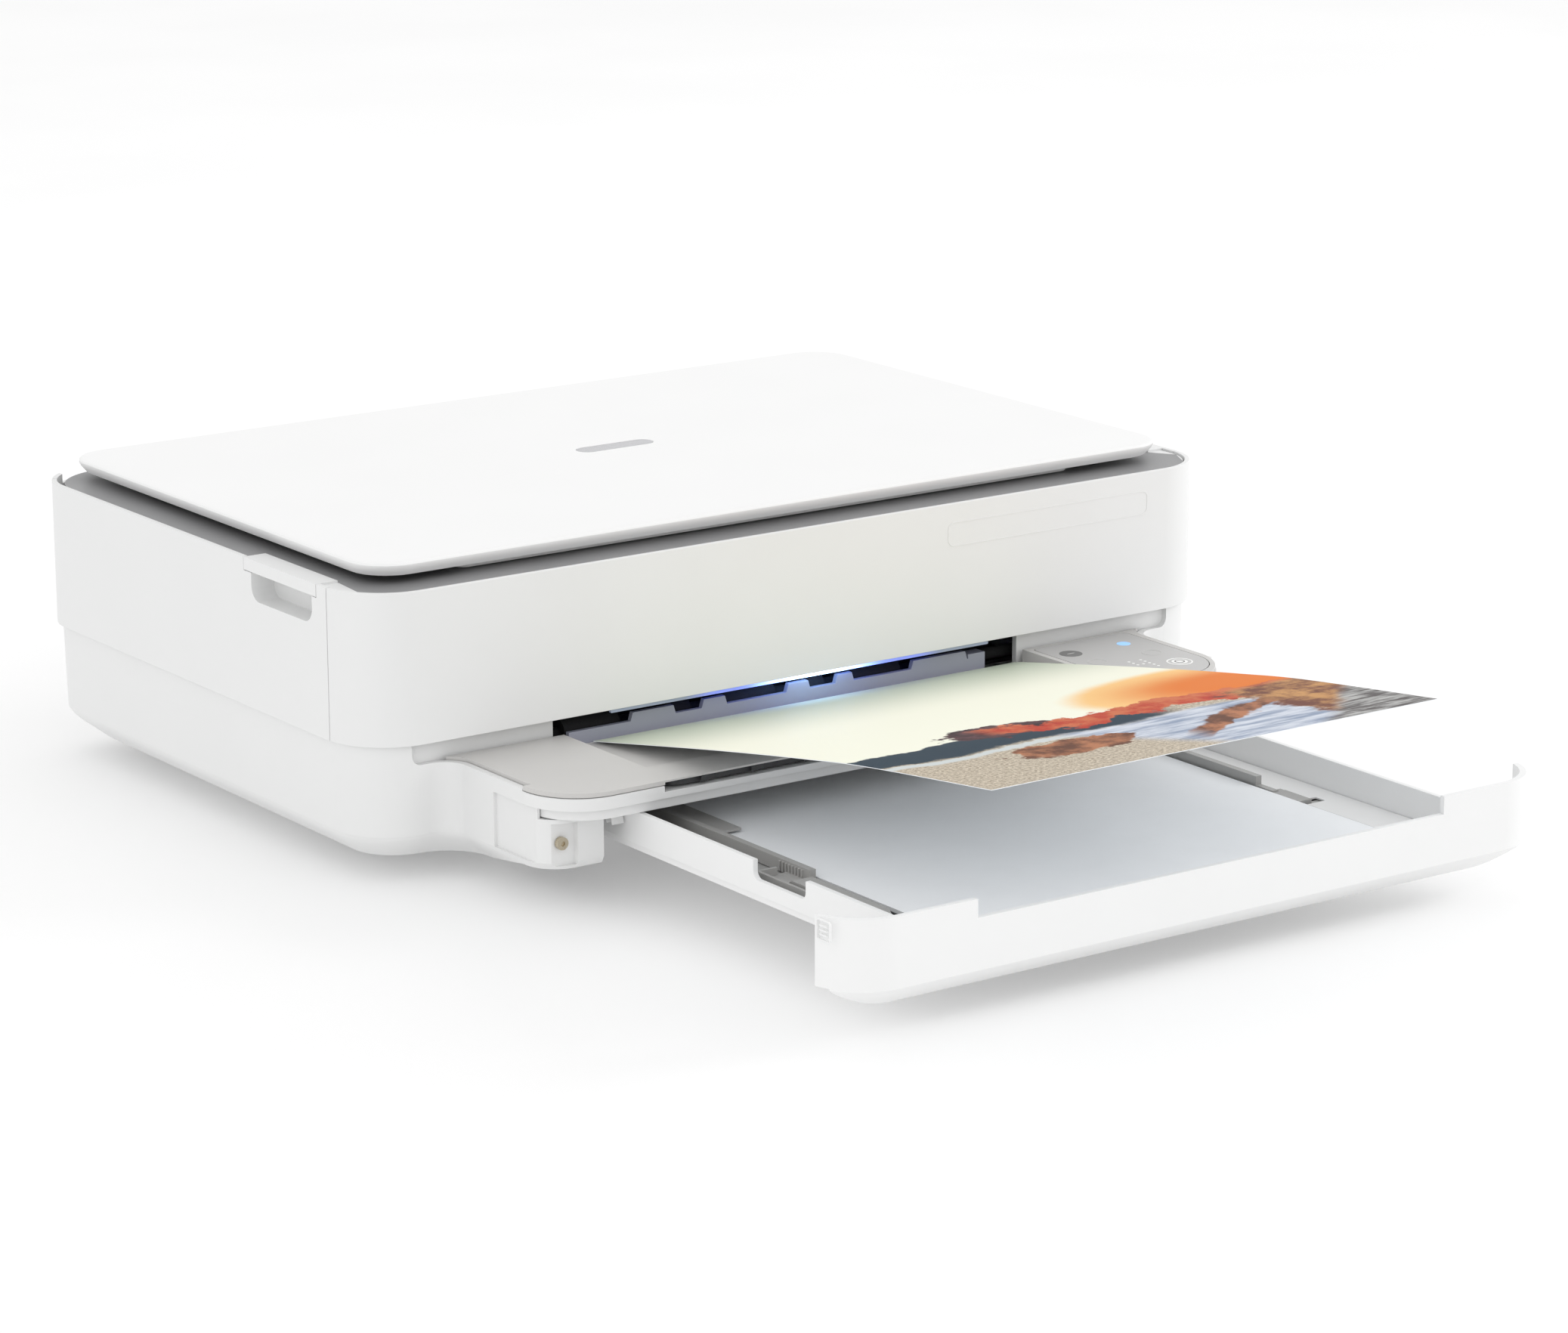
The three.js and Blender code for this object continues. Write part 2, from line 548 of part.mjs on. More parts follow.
// The printed sheet lies with its tail at the foot of the sill and its tip raised over the tray.
function printedSheet() {
  const curve = new THREE.SplineCurve(SHEET_LINE.map(([y, z]) => new THREE.Vector2(y, z)));
  const under = curve.getPoints(20);
  const over = under.map((p) => new THREE.Vector2(p.x, p.y + SHEET.thick)).reverse();
  return alongX(prism(new THREE.Shape([...under, ...over]), -SHEET.half, SHEET.half));
}

add('output_shelf', outputShelf(), 'shelfGrey');
add('shelf_trim', shelfTrim(), 'whitePlastic');
add('shelf_support', shelfSupport(), 'whitePlastic');
add('control_panel', controlsSlab(0.4, SHELF.top - 0.9, SHELF.top + 0.05), 'shelfGrey');
add('extender_arm', extenderArm(), 'darkPlastic');
add('output_sill', outputSill(), 'bezelGrey');
add('light_bar', box(MOUTH.left + 12.4, MOUTH.right - 11.4, 2.5, 5, 58.9, 61), 'light');
add('printed_sheet', printedSheet(), 'paper');

// ---------------------------------------------------------------- paper tray
function panelRing(inset) {
  const { half, front, corner } = PANEL;
  return roundedRing(half - inset, front + inset, -150 - inset, corner - inset * 0.6, 10);
}

function trayFront() {
  const rings = [...PANEL_CHAMFER, [PANEL.top, 0]].map(([z, inset]) => ({ z, points: panelRing(inset) }));
  const inside = prism(new THREE.Shape(panelRing(2.3)), 20.5, FAR);
  const behind = box(-FAR, FAR, PANEL.wingEnd, FAR, 0, FAR);
  const behindLip = box(-FAR, FAR, PANEL.lipEnd, FAR, 0, 20.6);
  const notch = alongY(prism(new THREE.Shape([
    new THREE.Vector2(-112, PANEL.notch), new THREE.Vector2(115, PANEL.notch),
    new THREE.Vector2(119, FAR), new THREE.Vector2(-118, FAR)]), 230, 290));
  return cut(loft(rings), inside, behind, behindLip, notch);
}

function trayBase() {
  const { half, front, back, bottom, top, wall } = TRAY;
  const trough = cut(
    box(-half, half, front, back, bottom, top),
    box(-half + wall, half - wall, front - 1, back + 1, bottom + 1.2, FAR));
  const strips = [-1, 1].map((side) => box(
    ...[side * half - 1.4, side * half + 1.4], front - 1, back + 1, bottom - 1, bottom + 3));
  const handleNotch = alongX(prism(roundedRect(-184, -150, 31.8, 60, 3), -FAR, 0, 4));
  return cut(trough, ...strips, handleNotch);
}

function trayFloor() {
  const inside = TRAY.half - TRAY.wall - GAP;
  const plate = box(-inside, inside, TRAY.front + 0.4, TRAY.back - 0.6, 25.8, 26.6);
  const slots = [-1, 1].map((side) => {
    const rackY = PINION.y - side * 8;
    return box(
      ...[side * GUIDE_SLOT.inner, side * GUIDE_SLOT.outer].sort((a, b) => a - b),
      rackY - 3, rackY + 3, 20, 30);
  });
  return cut(plate, ...slots);
}

function paperStack() {
  const { half, front, back, bottom, top } = PAPER;
  return box(-half, half, front, back, bottom, top);
}

function guidePinion() {
  const teeth = toothedShape(14, PINION.radius - 1, 0, 0.7, 0.6);
  return prism(teeth, RACK.bottom, RACK.top).translate(0, PINION.y, 0);
}

// What both width guides share, drawn for the left one: an upright blade with a hold-down flap, and
// under the floor a rack that the pinion drives.
function guideBlade() {
  const face = -GUIDE_FACE;
  const { floor, bladeTop, bladeFront, bladeBack, rackEnd, footEnd } = GUIDE;
  const blade = box(face - 3, face, bladeFront, bladeBack, floor, bladeTop);
  const flap = box(face - 1, face + 12, -88, -40, 29.4, 30.4);
  const foot = box(footEnd, face - 2, PINION.y + 6.4, PINION.y + 9.6, 25, floor + 0.8);
  const rack = box(rackEnd, 22, PINION.y + 6, PINION.y + 10, RACK.bottom, RACK.top);
  const link = box(face - 3, face, PINION.y + 6.4, bladeFront + 1, floor, floor + 1.6);
  const gaps = Array.from({ length: 10 }, (_, i) => box(
    -12 + i * 2.6, -10.7 + i * 2.6, PINION.y + 5, PINION.y + 7, 24, 26));
  return cut(join(blade, flap, foot, rack, link), ...gaps);
}

// The left guide adds ribs for the thumb, a rimmed finger pocket beside them and a long bar.
function leftGuide() {
  const side = -GUIDE_FACE - 3;
  const { floor, pocket } = GUIDE;
  const ribs = Array.from({ length: 8 }, (_, i) => box(
    side - 0.8, side + 0.5, -151 + i * 2.1, -149.9 + i * 2.1, floor + 0.5, 31.4));
  const base = box(pocket.left, side + 0.5, pocket.front, pocket.back, floor, floor + 1.2);
  const rim = box(pocket.left, pocket.left + 1.4, pocket.front, pocket.back, floor, pocket.top);
  const endRim = box(pocket.left, -118, pocket.back - 1.4, pocket.back, floor, pocket.top);
  const bar = alongX(prism(new THREE.Shape([
    new THREE.Vector2(-158, floor), new THREE.Vector2(-158, 30.4), new THREE.Vector2(-160, 31.4),
    new THREE.Vector2(-208, 31.4), new THREE.Vector2(-211, 29.4), new THREE.Vector2(-211, floor)]),
  -124, -114.5));
  return join(guideBlade(), ...ribs, base, rim, endRim, bar);
}

// The right guide's rack is the left one's turned half round about the pinion's axis.
function rightGuide() {
  const above = clip(guideBlade(), box(-FAR, FAR, -FAR, FAR, 26.65, FAR));
  const below = clip(guideBlade(), box(-FAR, FAR, -FAR, FAR, 0, 26.7));
  const turned = below.translate(0, -PINION.y, 0).rotateZ(Math.PI).translate(0, PINION.y, 0);
  const bridge = box(
    GUIDE_FACE, -GUIDE.footEnd, PINION.y - 9.6, PINION.y + 6.6, GUIDE.floor, GUIDE.floor + 1);
  const plug = box(
    GUIDE_FACE + 2, -GUIDE.footEnd, PINION.y - 9.6, PINION.y - 6.4, 26.5, GUIDE.floor + 0.5);
  return join(mirrored(above), turned, bridge, plug);
}

add('tray_front', trayFront(), 'whitePlastic');
add('tray_base', trayBase(), 'whitePlastic');
add('tray_floor', trayFloor(), 'bezelGrey');
add('paper_stack', paperStack(), 'paper');
add('guide_left', leftGuide(), 'guideGrey');
add('guide_right', rightGuide(), 'guideGrey');
add('guide_pinion', guidePinion(), 'gearWhite');

// ---------------------------------------------------------------- scanner
function scannerHousing() {
  const { half, front, back, corner, backCorner, bottom, top } = BEZEL;
  const plate = clip(
    prism(roundedRect(-half, half, front, back, corner), bottom, top, 12),
    prism(roundedRect(-half, half, front - 60, back, backCorner), bottom, top, 12));
  const tub = prism(roundedRect(-TUB.half, TUB.half, TUB.front, TUB.back, 4), TUB.bottom, top - 1, 4);
  const tabs = [[-CASING.half, -GRIP.inner], [GRIP.inner, CASING.half]].map(([x0, x1]) => box(
    x0, x1, GRIP.front, GRIP.back, GRIP.bottom, CASING.top - 0.1));
  const hollow = box(
    -TUB.half + TUB.wall, TUB.half - TUB.wall, TUB.front + TUB.wall, TUB.back - TUB.wall,
    TUB.bottom + 2, bottom - 1.2);
  const ledge = GLASS.ledge;
  const window = box(
    GLASS.left + ledge, GLASS.right - ledge, GLASS.front + ledge, GLASS.back - ledge, 110, 130);
  const rebate = box(GLASS.left, GLASS.right, GLASS.front, GLASS.back, bottom + 0.6, 130);
  const pivot = rodX(-FAR, FAR, LIFT_PIVOT.y, LIFT_PIVOT.z, LIFT_PIVOT.radius + 0.4);
  const body = cut(join(plate, tub, ...tabs), hollow, window, rebate, pivot);
  const { y, z, radius, pinRadius } = LID_PIVOT;
  const hinges = [-HINGE_X, HINGE_X].map((x) => join(
    box(x - 11, x + 11, y - radius, y + radius, top - 1, z),
    rodX(x - 11, x + 11, y, z, radius),
    rodX(x - 17, x + 17, y, z, pinRadius, 10)));
  return join(body, ...hinges);
}

function scannerGlass() {
  const { left, right, front, back } = GLASS;
  return box(left + GAP, right - GAP, front + GAP, back - GAP, BEZEL.bottom + 0.9, BEZEL.top - 0.1);
}

function scanBar() {
  const bar = box(SCAN_BAR.left, SCAN_BAR.right, 30, 246, 104, BEZEL.bottom - 1 - GAP);
  const rodGroove = box(-170, -140, SCAN_ROD.y - 4, SCAN_ROD.y + 4, 100, SCAN_ROD.z + 4);
  const sensor = box(-157, -153, 34, 242, 115.8, 120);
  return cut(bar, rodGroove, sensor);
}

add('scanner_housing', scannerHousing(), 'bezelGrey');
add('scanner_glass', scannerGlass(), 'glass');
add('scan_rod', rodX(-ROD_HALF, ROD_HALF, SCAN_ROD.y, SCAN_ROD.z, SCAN_ROD.radius, 12), 'steel');
add('scan_bar', scanBar(), 'darkPlastic');

// ---------------------------------------------------------------- lid
function lidShell() {
  const { half, front, back, corner, bottom, top } = LID;
  const rings = LID_EDGE.map(([z, inset]) => ({
    z,
    points: roundedRing(half - inset, front + inset, back - inset, corner - inset * 0.5, 8),
  }));
  const rim = LID.rim;
  const pocketOutline = roundedRect(-half + rim, half - rim, front + rim, LID.pocketBack, corner - rim);
  const pocket = prism(pocketOutline, bottom - 5, top - 2.2, 5);
  const notchTop = LID_PIVOT.z + LID_PIVOT.radius + GAP;
  const hinges = [-HINGE_X, HINGE_X].map((x) => box(x - 11.6, x + 11.6, 262, FAR, 100, notchTop));
  const pinHoles = [-HINGE_X, HINGE_X].map((x) => rodX(x - 18, x + 18, LID_PIVOT.y, LID_PIVOT.z, 1.45, 10));
  return cut(loft(rings), pocket, ...hinges, ...pinHoles);
}

function lidLiner() {
  const inset = LID.rim + 0.4;
  const half = LID.half - inset;
  const outline = roundedRect(
    -half, half, LID.front + inset, LID.pocketBack - 0.4, LID.corner - inset);
  return prism(outline, 125, 127.2, 5);
}

function lidPad() {
  const outline = roundedRect(GLASS.left - 4, GLASS.right + 4, GLASS.front - 4, GLASS.back + 4, 5);
  return prism(outline, BEZEL.top + 0.5, 124.7, 5);
}

add('lid_shell', lidShell(), 'whitePlastic');
add('lid_liner', lidLiner(), 'darkPlastic');
add('lid_pad', lidPad(), 'paper');

// ---------------------------------------------------------------- mechanism in the base
function mechanismDeck() {
  const plate = prism(roundedRect(-208, 208, 23, 265, 20), DECK.bottom, DECK.top, 5);
  const rollerSlot = box(-114, 114, FEED.y - 7.5, FEED.y + 7.5, 0, 80);
  const gearWindow = box(-185, -160, 0, 125, 0, 80);
  const pickWindow = box(-28, 28, 138, 222, 0, 80);
  const turnWindow = box(-118, 118, 228, 262, 0, 80);
  return cut(plate, rollerSlot, gearWindow, pickWindow, turnWindow);
}

const feedGear = { y: FEED.y, z: FEED.z, teeth: FEED.teeth, phase: 0 };

// Centre of a gear that meshes with both given gears, on the upper side of their line.
function centreBetween(a, b, teeth) {
  const reachA = (a.teeth + teeth) / 2;
  const reachB = (b.teeth + teeth) / 2;
  const dy = b.y - a.y;
  const dz = b.z - a.z;
  const distance = Math.hypot(dy, dz);
  const along = (reachA ** 2 - reachB ** 2 + distance ** 2) / (2 * distance);
  const aside = Math.sqrt(reachA ** 2 - along ** 2);
  return {
    y: a.y + (along * dy) / distance + (aside * dz) / distance,
    z: a.z + (along * dz) / distance - (aside * dy) / distance,
    teeth,
  };
}

const exitGear = { y: EXIT.y, z: EXIT.z, teeth: EXIT.teeth };
const idlerGear = centreBetween(feedGear, exitGear, IDLER_TEETH);
idlerGear.phase = meshPhase(feedGear, idlerGear);
exitGear.phase = meshPhase(idlerGear, exitGear);
const pinionReach = (FEED.teeth + MOTOR_TEETH) / 2;
const pinionAngle = THREE.MathUtils.degToRad(35);
const motorGear = {
  y: FEED.y + pinionReach * Math.cos(pinionAngle),
  z: FEED.z + pinionReach * Math.sin(pinionAngle),
  teeth: MOTOR_TEETH,
};
motorGear.phase = meshPhase(feedGear, motorGear);

function sideFrame(side) {
  const [x0, x1] = side < 0 ? [-FRAME_X - 1.5, -FRAME_X] : [FRAME_X, FRAME_X + 1.5];
  const plate = join(
    box(x0, x1, 12, 22.5, 36, 94),
    box(x0, x1, 22, 158, DECK.top + GAP, 94));
  const bearings = [
    [EXIT, EXIT.shaft + 0.4],
    [FEED, FEED.shaft + 0.4],
    [PICK, PICK.shaft + 0.4],
    [motorGear, 2.2],
  ];
  const holes = bearings.map(([{ y, z }, r]) => rodX(x0 - 2, x1 + 2, y, z, r));
  const openings = [box(x0 - 2, x1 + 2, 104, 140, 56, 84)];
  const plain = cut(plate, ...holes, ...openings);
  const idlerAxle = rodX(-FRAME_X - 1, GEAR_X[1] + 1.5, idlerGear.y, idlerGear.z, 2, 14);
  return side < 0 ? join(plain, idlerAxle) : plain;
}

function feedRoller() {
  return join(
    rodX(-191, 191, FEED.y, FEED.z, FEED.shaft, 12),
    rodX(-112, 112, FEED.y, FEED.z, FEED.roller, 16),
    gearX(feedGear.teeth, feedGear, feedGear.phase));
}

function exitRoller() {
  const wheels = EXIT_WHEELS.map(([x0, x1]) => rodX(x0, x1, EXIT.y, EXIT.z, EXIT.roller, 18));
  return join(
    rodX(-191, 191, EXIT.y, EXIT.z, EXIT.shaft, 12),
    ...wheels,
    gearX(exitGear.teeth, exitGear, exitGear.phase));
}

function idler() {
  return cut(
    gearX(idlerGear.teeth, idlerGear, idlerGear.phase),
    rodX(-FAR, FAR, idlerGear.y, idlerGear.z, 2.4, 16));
}

function motorPinion() {
  const shaft = rodX(-188.4, GEAR_X[1], motorGear.y, motorGear.z, 1.5, 12);
  return join(gearX(motorGear.teeth, motorGear, motorGear.phase), shaft);
}

function motorX(x0, x1, y, z, r) {
  const can = rodX(x0, x1, y, z, r, 18);
  const cap = rodX(x0 - 1.5, x0 + 1, y, z, r * 0.45, 16);
  return join(can, cap);
}

function carriageRail() {
  const web = box(-FRAME_X + GAP, FRAME_X - GAP, 85, 86.5, 56, 90);
  const topFlange = box(-FRAME_X + GAP, FRAME_X - GAP, 85, 93, 88.6, 90);
  const lowFlange = box(-FRAME_X + GAP, FRAME_X - GAP, 85, 93, 56, 57.4);
  const axle = rodY(PULLEY.x, 86, 95.2, PULLEY.z, PULLEY.axle, 14);
  const windows = Array.from({ length: 7 }, (_, i) => box(-140 + i * 42, -118 + i * 42, 80, 87, 62, 66));
  const gearRoom = box(-FAR, -175, 80, 100, 50, 70);
  return cut(join(cut(web, ...windows), topFlange, lowFlange, axle), gearRoom);
}

function driveBelt() {
  const { x, z, radius } = PULLEY;
  const loop = (r, y0, y1) => alongY(prism(roundedRect(-x - r, x + r, z - r, z + r, r - 0.01), -y1, -y0, 6));
  return cut(loop(radius + 1.4, 90, 94), loop(radius + 0.4, 88, 96));
}

function pulley(x) {
  const { z, radius } = PULLEY;
  return rodY(x, 89.6, 94.4, z, radius, 18);
}

function drivePulley() {
  return join(pulley(-PULLEY.x), rodY(-PULLEY.x, 94, 97.7, PULLEY.z, 1.5, 12));
}

function idlerPulley() {
  return cut(pulley(PULLEY.x), rodY(PULLEY.x, 80, 100, PULLEY.z, PULLEY.axle + 0.35, 14));
}

function carriageMotor() {
  return join(
    rodY(-PULLEY.x, 98, 122, PULLEY.z, 12, 18),
    rodY(-PULLEY.x, 121, 123.5, PULLEY.z, 5));
}

function printCarriage() {
  const { x, half, front, back, bottom, top } = CARRIAGE;
  const block = box(x - half, x + half, front, back, bottom, top);
  const bays = [-1, 1].map((side) => box(
    x + side * 15 - 13.5, x + side * 15 + 13.5, front + 4, back - 6, bottom + 3, FAR));
  const nozzleGaps = [-1, 1].map((side) => box(
    x + side * 15 - 8, x + side * 15 + 8, front + 12, front + 34, 0, bottom + 4));
  const frontDip = alongX(prism(new THREE.Shape([
    new THREE.Vector2(front - 5, 78), new THREE.Vector2(front + 22, FAR), new THREE.Vector2(front - 5, FAR)]),
    x - half - 5, x + half + 5));
  const beltArm = box(x - 10, x + 10, back - 5, 97, 90.6, 93.4);
  const armRoot = box(x - 10, x + 10, back - 5, back, top - 4, 92);
  const beltGrip = box(x - 10, x + 10, 94.8, 97, 80, 93.4);
  return join(cut(block, ...bays, ...nozzleGaps, frontDip), beltArm, armRoot, beltGrip);
}

function cartridge(side) {
  const { x, front, back, bottom } = CARRIAGE;
  const middle = x + side * 15;
  const profile = new THREE.Shape([
    new THREE.Vector2(front + 4.6, bottom + 3.4), new THREE.Vector2(back - 6.6, bottom + 3.4),
    new THREE.Vector2(back - 6.6, 92), new THREE.Vector2(front + 24, 92),
    new THREE.Vector2(front + 12, 86), new THREE.Vector2(front + 4.6, 84)]);
  const tank = alongX(prism(profile, middle - 13, middle + 13));
  const nozzle = box(middle - 6, middle + 6, front + 14, front + 31, bottom + 0.6, bottom + 5);
  return join(tank, nozzle);
}

function capSled() {
  const { x } = CARRIAGE;
  const tray = box(x - 26, x + 26, 28, 66, 44.5, 48.6);
  const cups = [-1, 1].map((side) => cut(
    box(x + side * 15 - 9, x + side * 15 + 9, 33, 58, 48, 51.2),
    box(x + side * 15 - 7.4, x + side * 15 + 7.4, 34.6, 56.4, 49.4, 60)));
  const wiper = box(x - 25, x + 25, 61, 62.5, 48, 51.6);
  return join(tray, ...cups, wiper);
}

function platen() {
  const slab = box(-112, 112, 26, 64, DECK.top + GAP, 50);
  const ribs = Array.from({ length: 13 }, (_, i) => {
    const x = (i - 6) * 18;
    return box(x - 0.8, x + 0.8, 27, 63, 49, 52.4);
  });
  return join(slab, ...ribs);
}

function pickArm() {
  const reach = Math.hypot(PICK.rollerY - PICK.y, PICK.rollerZ - PICK.z);
  const tilt = Math.atan2(PICK.rollerZ - PICK.z, PICK.rollerY - PICK.y);
  const lever = alongX(prism(roundedRect(-8, reach + 6, -6, 6, 5.9), 13, 19, 6));
  lever.rotateX(tilt).translate(0, PICK.y, PICK.z);
  const hub = rodX(5, 20, PICK.y, PICK.z, 7, 16);
  const axle = rodX(-13, 14, PICK.rollerY, PICK.rollerZ, 2.5, 14);
  return cut(join(lever, hub, axle), rodX(-FAR, FAR, PICK.y, PICK.z, PICK.shaft + GAP));
}

function pickRoller() {
  return cut(
    rodX(-12, 12.6, PICK.rollerY, PICK.rollerZ, PICK.radius, 18),
    rodX(-FAR, FAR, PICK.rollerY, PICK.rollerZ, 2.85, 14));
}

function mainBoard() {
  const sheet = box(100, 178, 166, 258, DECK.top + GAP, 45);
  const chips = [
    [112, 136, 180, 204, 48],
    [146, 158, 184, 196, 47],
    [106, 118, 230, 250, 54],
    [150, 174, 224, 232, 53],
  ];
  return join(sheet, ...chips.map(([x0, x1, y0, y1, z]) => box(x0, x1, y0, y1, 44, z)));
}

function powerSupply() {
  return cut(
    box(-200, -140, 166, 262, DECK.top + GAP, 78),
    box(-190, -150, 180, 250, 76, 80));
}

add('mechanism_deck', mechanismDeck(), 'darkPlastic');
add('side_frame_left', sideFrame(-1), 'steel');
add('side_frame_right', sideFrame(1), 'steel');
add('feed_roller', feedRoller(), 'darkPlastic');
add('exit_roller', exitRoller(), 'rubber');
add('idler_gear', idler(), 'gearWhite');
add('motor_pinion', motorPinion(), 'gearWhite');
add('feed_motor', motorX(-207, -188.8, motorGear.y, motorGear.z, 11), 'steel');
add('carriage_rail', carriageRail(), 'steel');
add('carriage_belt', driveBelt(), 'rubber');
add('drive_pulley', drivePulley(), 'gearWhite');
add('idler_pulley', idlerPulley(), 'gearWhite');
add('carriage_motor', carriageMotor(), 'steel');
add('print_carriage', printCarriage(), 'darkPlastic');
add('cartridge_black', cartridge(-1), 'darkPlastic');
add('cartridge_colour', cartridge(1), 'darkPlastic');
add('cap_sled', capSled(), 'guideGrey');
add('platen', platen(), 'darkPlastic');
add('pick_shaft', rodX(-191, 191, PICK.y, PICK.z, PICK.shaft, 14), 'steel');
add('pick_arm', pickArm(), 'darkPlastic');
add('pick_roller', pickRoller(), 'rubber');
add('main_board', mainBoard(), 'board');
add('power_supply', powerSupply(), 'darkPlastic');

// The origin goes under the middle of the whole object.
printer.position.y = -(CASING.back + SHEET.tipY) / 2;

export default printer;
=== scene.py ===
import math

import bmesh
import bpy
from mathutils import Matrix, Vector

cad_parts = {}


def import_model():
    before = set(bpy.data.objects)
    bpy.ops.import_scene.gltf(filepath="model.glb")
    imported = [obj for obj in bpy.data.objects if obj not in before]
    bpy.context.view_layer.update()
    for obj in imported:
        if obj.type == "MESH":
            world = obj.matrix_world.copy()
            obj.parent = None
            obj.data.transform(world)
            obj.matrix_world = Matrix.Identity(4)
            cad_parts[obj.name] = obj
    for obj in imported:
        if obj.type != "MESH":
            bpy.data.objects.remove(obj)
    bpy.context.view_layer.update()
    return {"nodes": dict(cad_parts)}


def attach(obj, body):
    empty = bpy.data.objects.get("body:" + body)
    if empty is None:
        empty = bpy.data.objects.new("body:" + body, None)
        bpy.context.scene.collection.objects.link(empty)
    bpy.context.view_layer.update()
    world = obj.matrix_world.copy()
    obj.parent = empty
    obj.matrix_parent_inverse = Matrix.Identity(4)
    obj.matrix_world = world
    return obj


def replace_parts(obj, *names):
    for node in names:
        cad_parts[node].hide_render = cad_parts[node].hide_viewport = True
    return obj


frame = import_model()
NODES = frame["nodes"]

MM = 0.001
FRONT = -9.0  # the upper casing's front face, in millimetres along Y


def at(x, y, z):
    """A point given in millimetres, with y measured back from the upper casing's front face."""
    return Vector((x * MM, (y + FRONT) * MM, z * MM))


# ------------------------------------------------------------------ shader building
class Nodes:
    """Small helper that adds and links shader nodes in one material."""

    def __init__(self, name):
        self.mat = bpy.data.materials.new(name)
        self.mat.use_nodes = True
        self.tree = self.mat.node_tree
        self.tree.nodes.clear()
        self.out = self.tree.nodes.new("ShaderNodeOutputMaterial")
        self.bsdf = self.tree.nodes.new("ShaderNodeBsdfPrincipled")
        self.tree.links.new(self.bsdf.outputs[0], self.out.inputs["Surface"])
        coord = self.tree.nodes.new("ShaderNodeTexCoord")
        self.position = coord.outputs["Object"]
        self.uv = coord.outputs["UV"]

    def feed(self, socket, value):
        if isinstance(value, bpy.types.NodeSocket):
            self.tree.links.new(value, socket)
        elif isinstance(value, (tuple, list)) and len(value) == 3 and len(socket.default_value) == 4:
            socket.default_value = (*value, 1.0)
        else:
            socket.default_value = value

    def math(self, operation, a, b=0.0):
        node = self.tree.nodes.new("ShaderNodeMath")
        node.operation = operation
        for socket, value in zip(node.inputs, (a, b)):
            self.feed(socket, value)
        return node.outputs[0]

    def add(self, a, b):
        return self.math("ADD", a, b)

    def minus(self, a, b):
        return self.math("SUBTRACT", a, b)

    def times(self, a, b):
        return self.math("MULTIPLY", a, b)

    def over(self, a, b):
        return self.math("DIVIDE", a, b)

    def size(self, a):
        return self.math("ABSOLUTE", a)

    def noise(self, scale, detail=2.0, rough=0.5, vector=None):
        node = self.tree.nodes.new("ShaderNodeTexNoise")
        self.feed(node.inputs["Vector"], vector or self.position)
        node.inputs["Scale"].default_value = scale
        node.inputs["Detail"].default_value = detail
        node.inputs["Roughness"].default_value = rough
        return node.outputs["Fac"]

    def step(self, value, low, high, to_low=0.0, to_high=1.0):
        """Runs smoothly from to_low to to_high as the value goes from low to high."""
        node = self.tree.nodes.new("ShaderNodeMapRange")
        node.interpolation_type = "SMOOTHSTEP"
        self.feed(node.inputs["Value"], value)
        node.inputs["From Min"].default_value = low
        node.inputs["From Max"].default_value = high
        node.inputs["To Min"].default_value = to_low
        node.inputs["To Max"].default_value = to_high
        return node.outputs["Result"]

    def mix(self, share, a, b):
        node = self.tree.nodes.new("ShaderNodeMix")
        node.data_type = "RGBA"
        self.feed(node.inputs["Factor"], share)
        self.feed(node.inputs[6], a)
        self.feed(node.inputs[7], b)
        return node.outputs[2]

    def split(self, vector):
        node = self.tree.nodes.new("ShaderNodeSeparateXYZ")
        self.feed(node.inputs[0], vector)
        return node.outputs

    def stretch(self, vector, scale):
        node = self.tree.nodes.new("ShaderNodeMapping")
        self.feed(node.inputs["Vector"], vector)
        node.inputs["Scale"].default_value = scale
        return node.outputs[0]

    def bump(self, height, strength, distance):
        node = self.tree.nodes.new("ShaderNodeBump")
        self.feed(node.inputs["Height"], height)
        node.inputs["Strength"].default_value = strength
        node.inputs["Distance"].default_value = distance
        return node.outputs[0]

    def set(self, **values):
        for name, value in values.items():
            self.feed(self.bsdf.inputs[name.replace("_", " ")], value)


def plastic(name, colour, rough=0.5, grain=2600.0, grain_depth=0.00003, mottle=0.02):
    """Moulded plastic: spark-eroded grain in the bump, faint mottling in colour and gloss."""
    n = Nodes(name)
    wide = n.noise(22.0, 3.0)
    fine = n.noise(grain, 2.0, 0.6)
    dark = tuple(c * (1 - mottle) for c in colour)
    light = tuple(min(1.0, c * (1 + mottle)) for c in colour)
    tint = n.mix(n.step(wide, 0.3, 0.7), dark, light)
    speck = tuple(c * (1 - 2.2 * mottle) for c in colour)
    n.set(Base_Color=n.mix(n.step(fine, 0.62, 0.75, 0.0, 0.5), tint, speck))
    n.set(Roughness=n.step(wide, 0.25, 0.75, rough - 0.05, rough + 0.05))
    n.set(Normal=n.bump(fine, 0.5, grain_depth))
    return n.mat


def metal(name, colour, rough=0.3, along="X"):
    """Rolled or ground steel: fine streaks along one axis."""
    n = Nodes(name)
    scale = {"X": (60, 2600, 2600), "Y": (2600, 60, 2600), "Z": (2600, 2600, 60)}[along]
    streak = n.noise(1.0, 3.0, 0.6, n.stretch(n.position, scale))
    wide = n.noise(35.0, 2.0)
    n.set(Metallic=1.0)
    n.set(Base_Color=n.mix(n.step(wide, 0.3, 0.7), tuple(c * 0.93 for c in colour), colour))
    n.set(Roughness=n.step(streak, 0.2, 0.8, rough - 0.06, rough + 0.1))
    n.set(Normal=n.bump(streak, 0.35, 0.00002))
    return n.mat


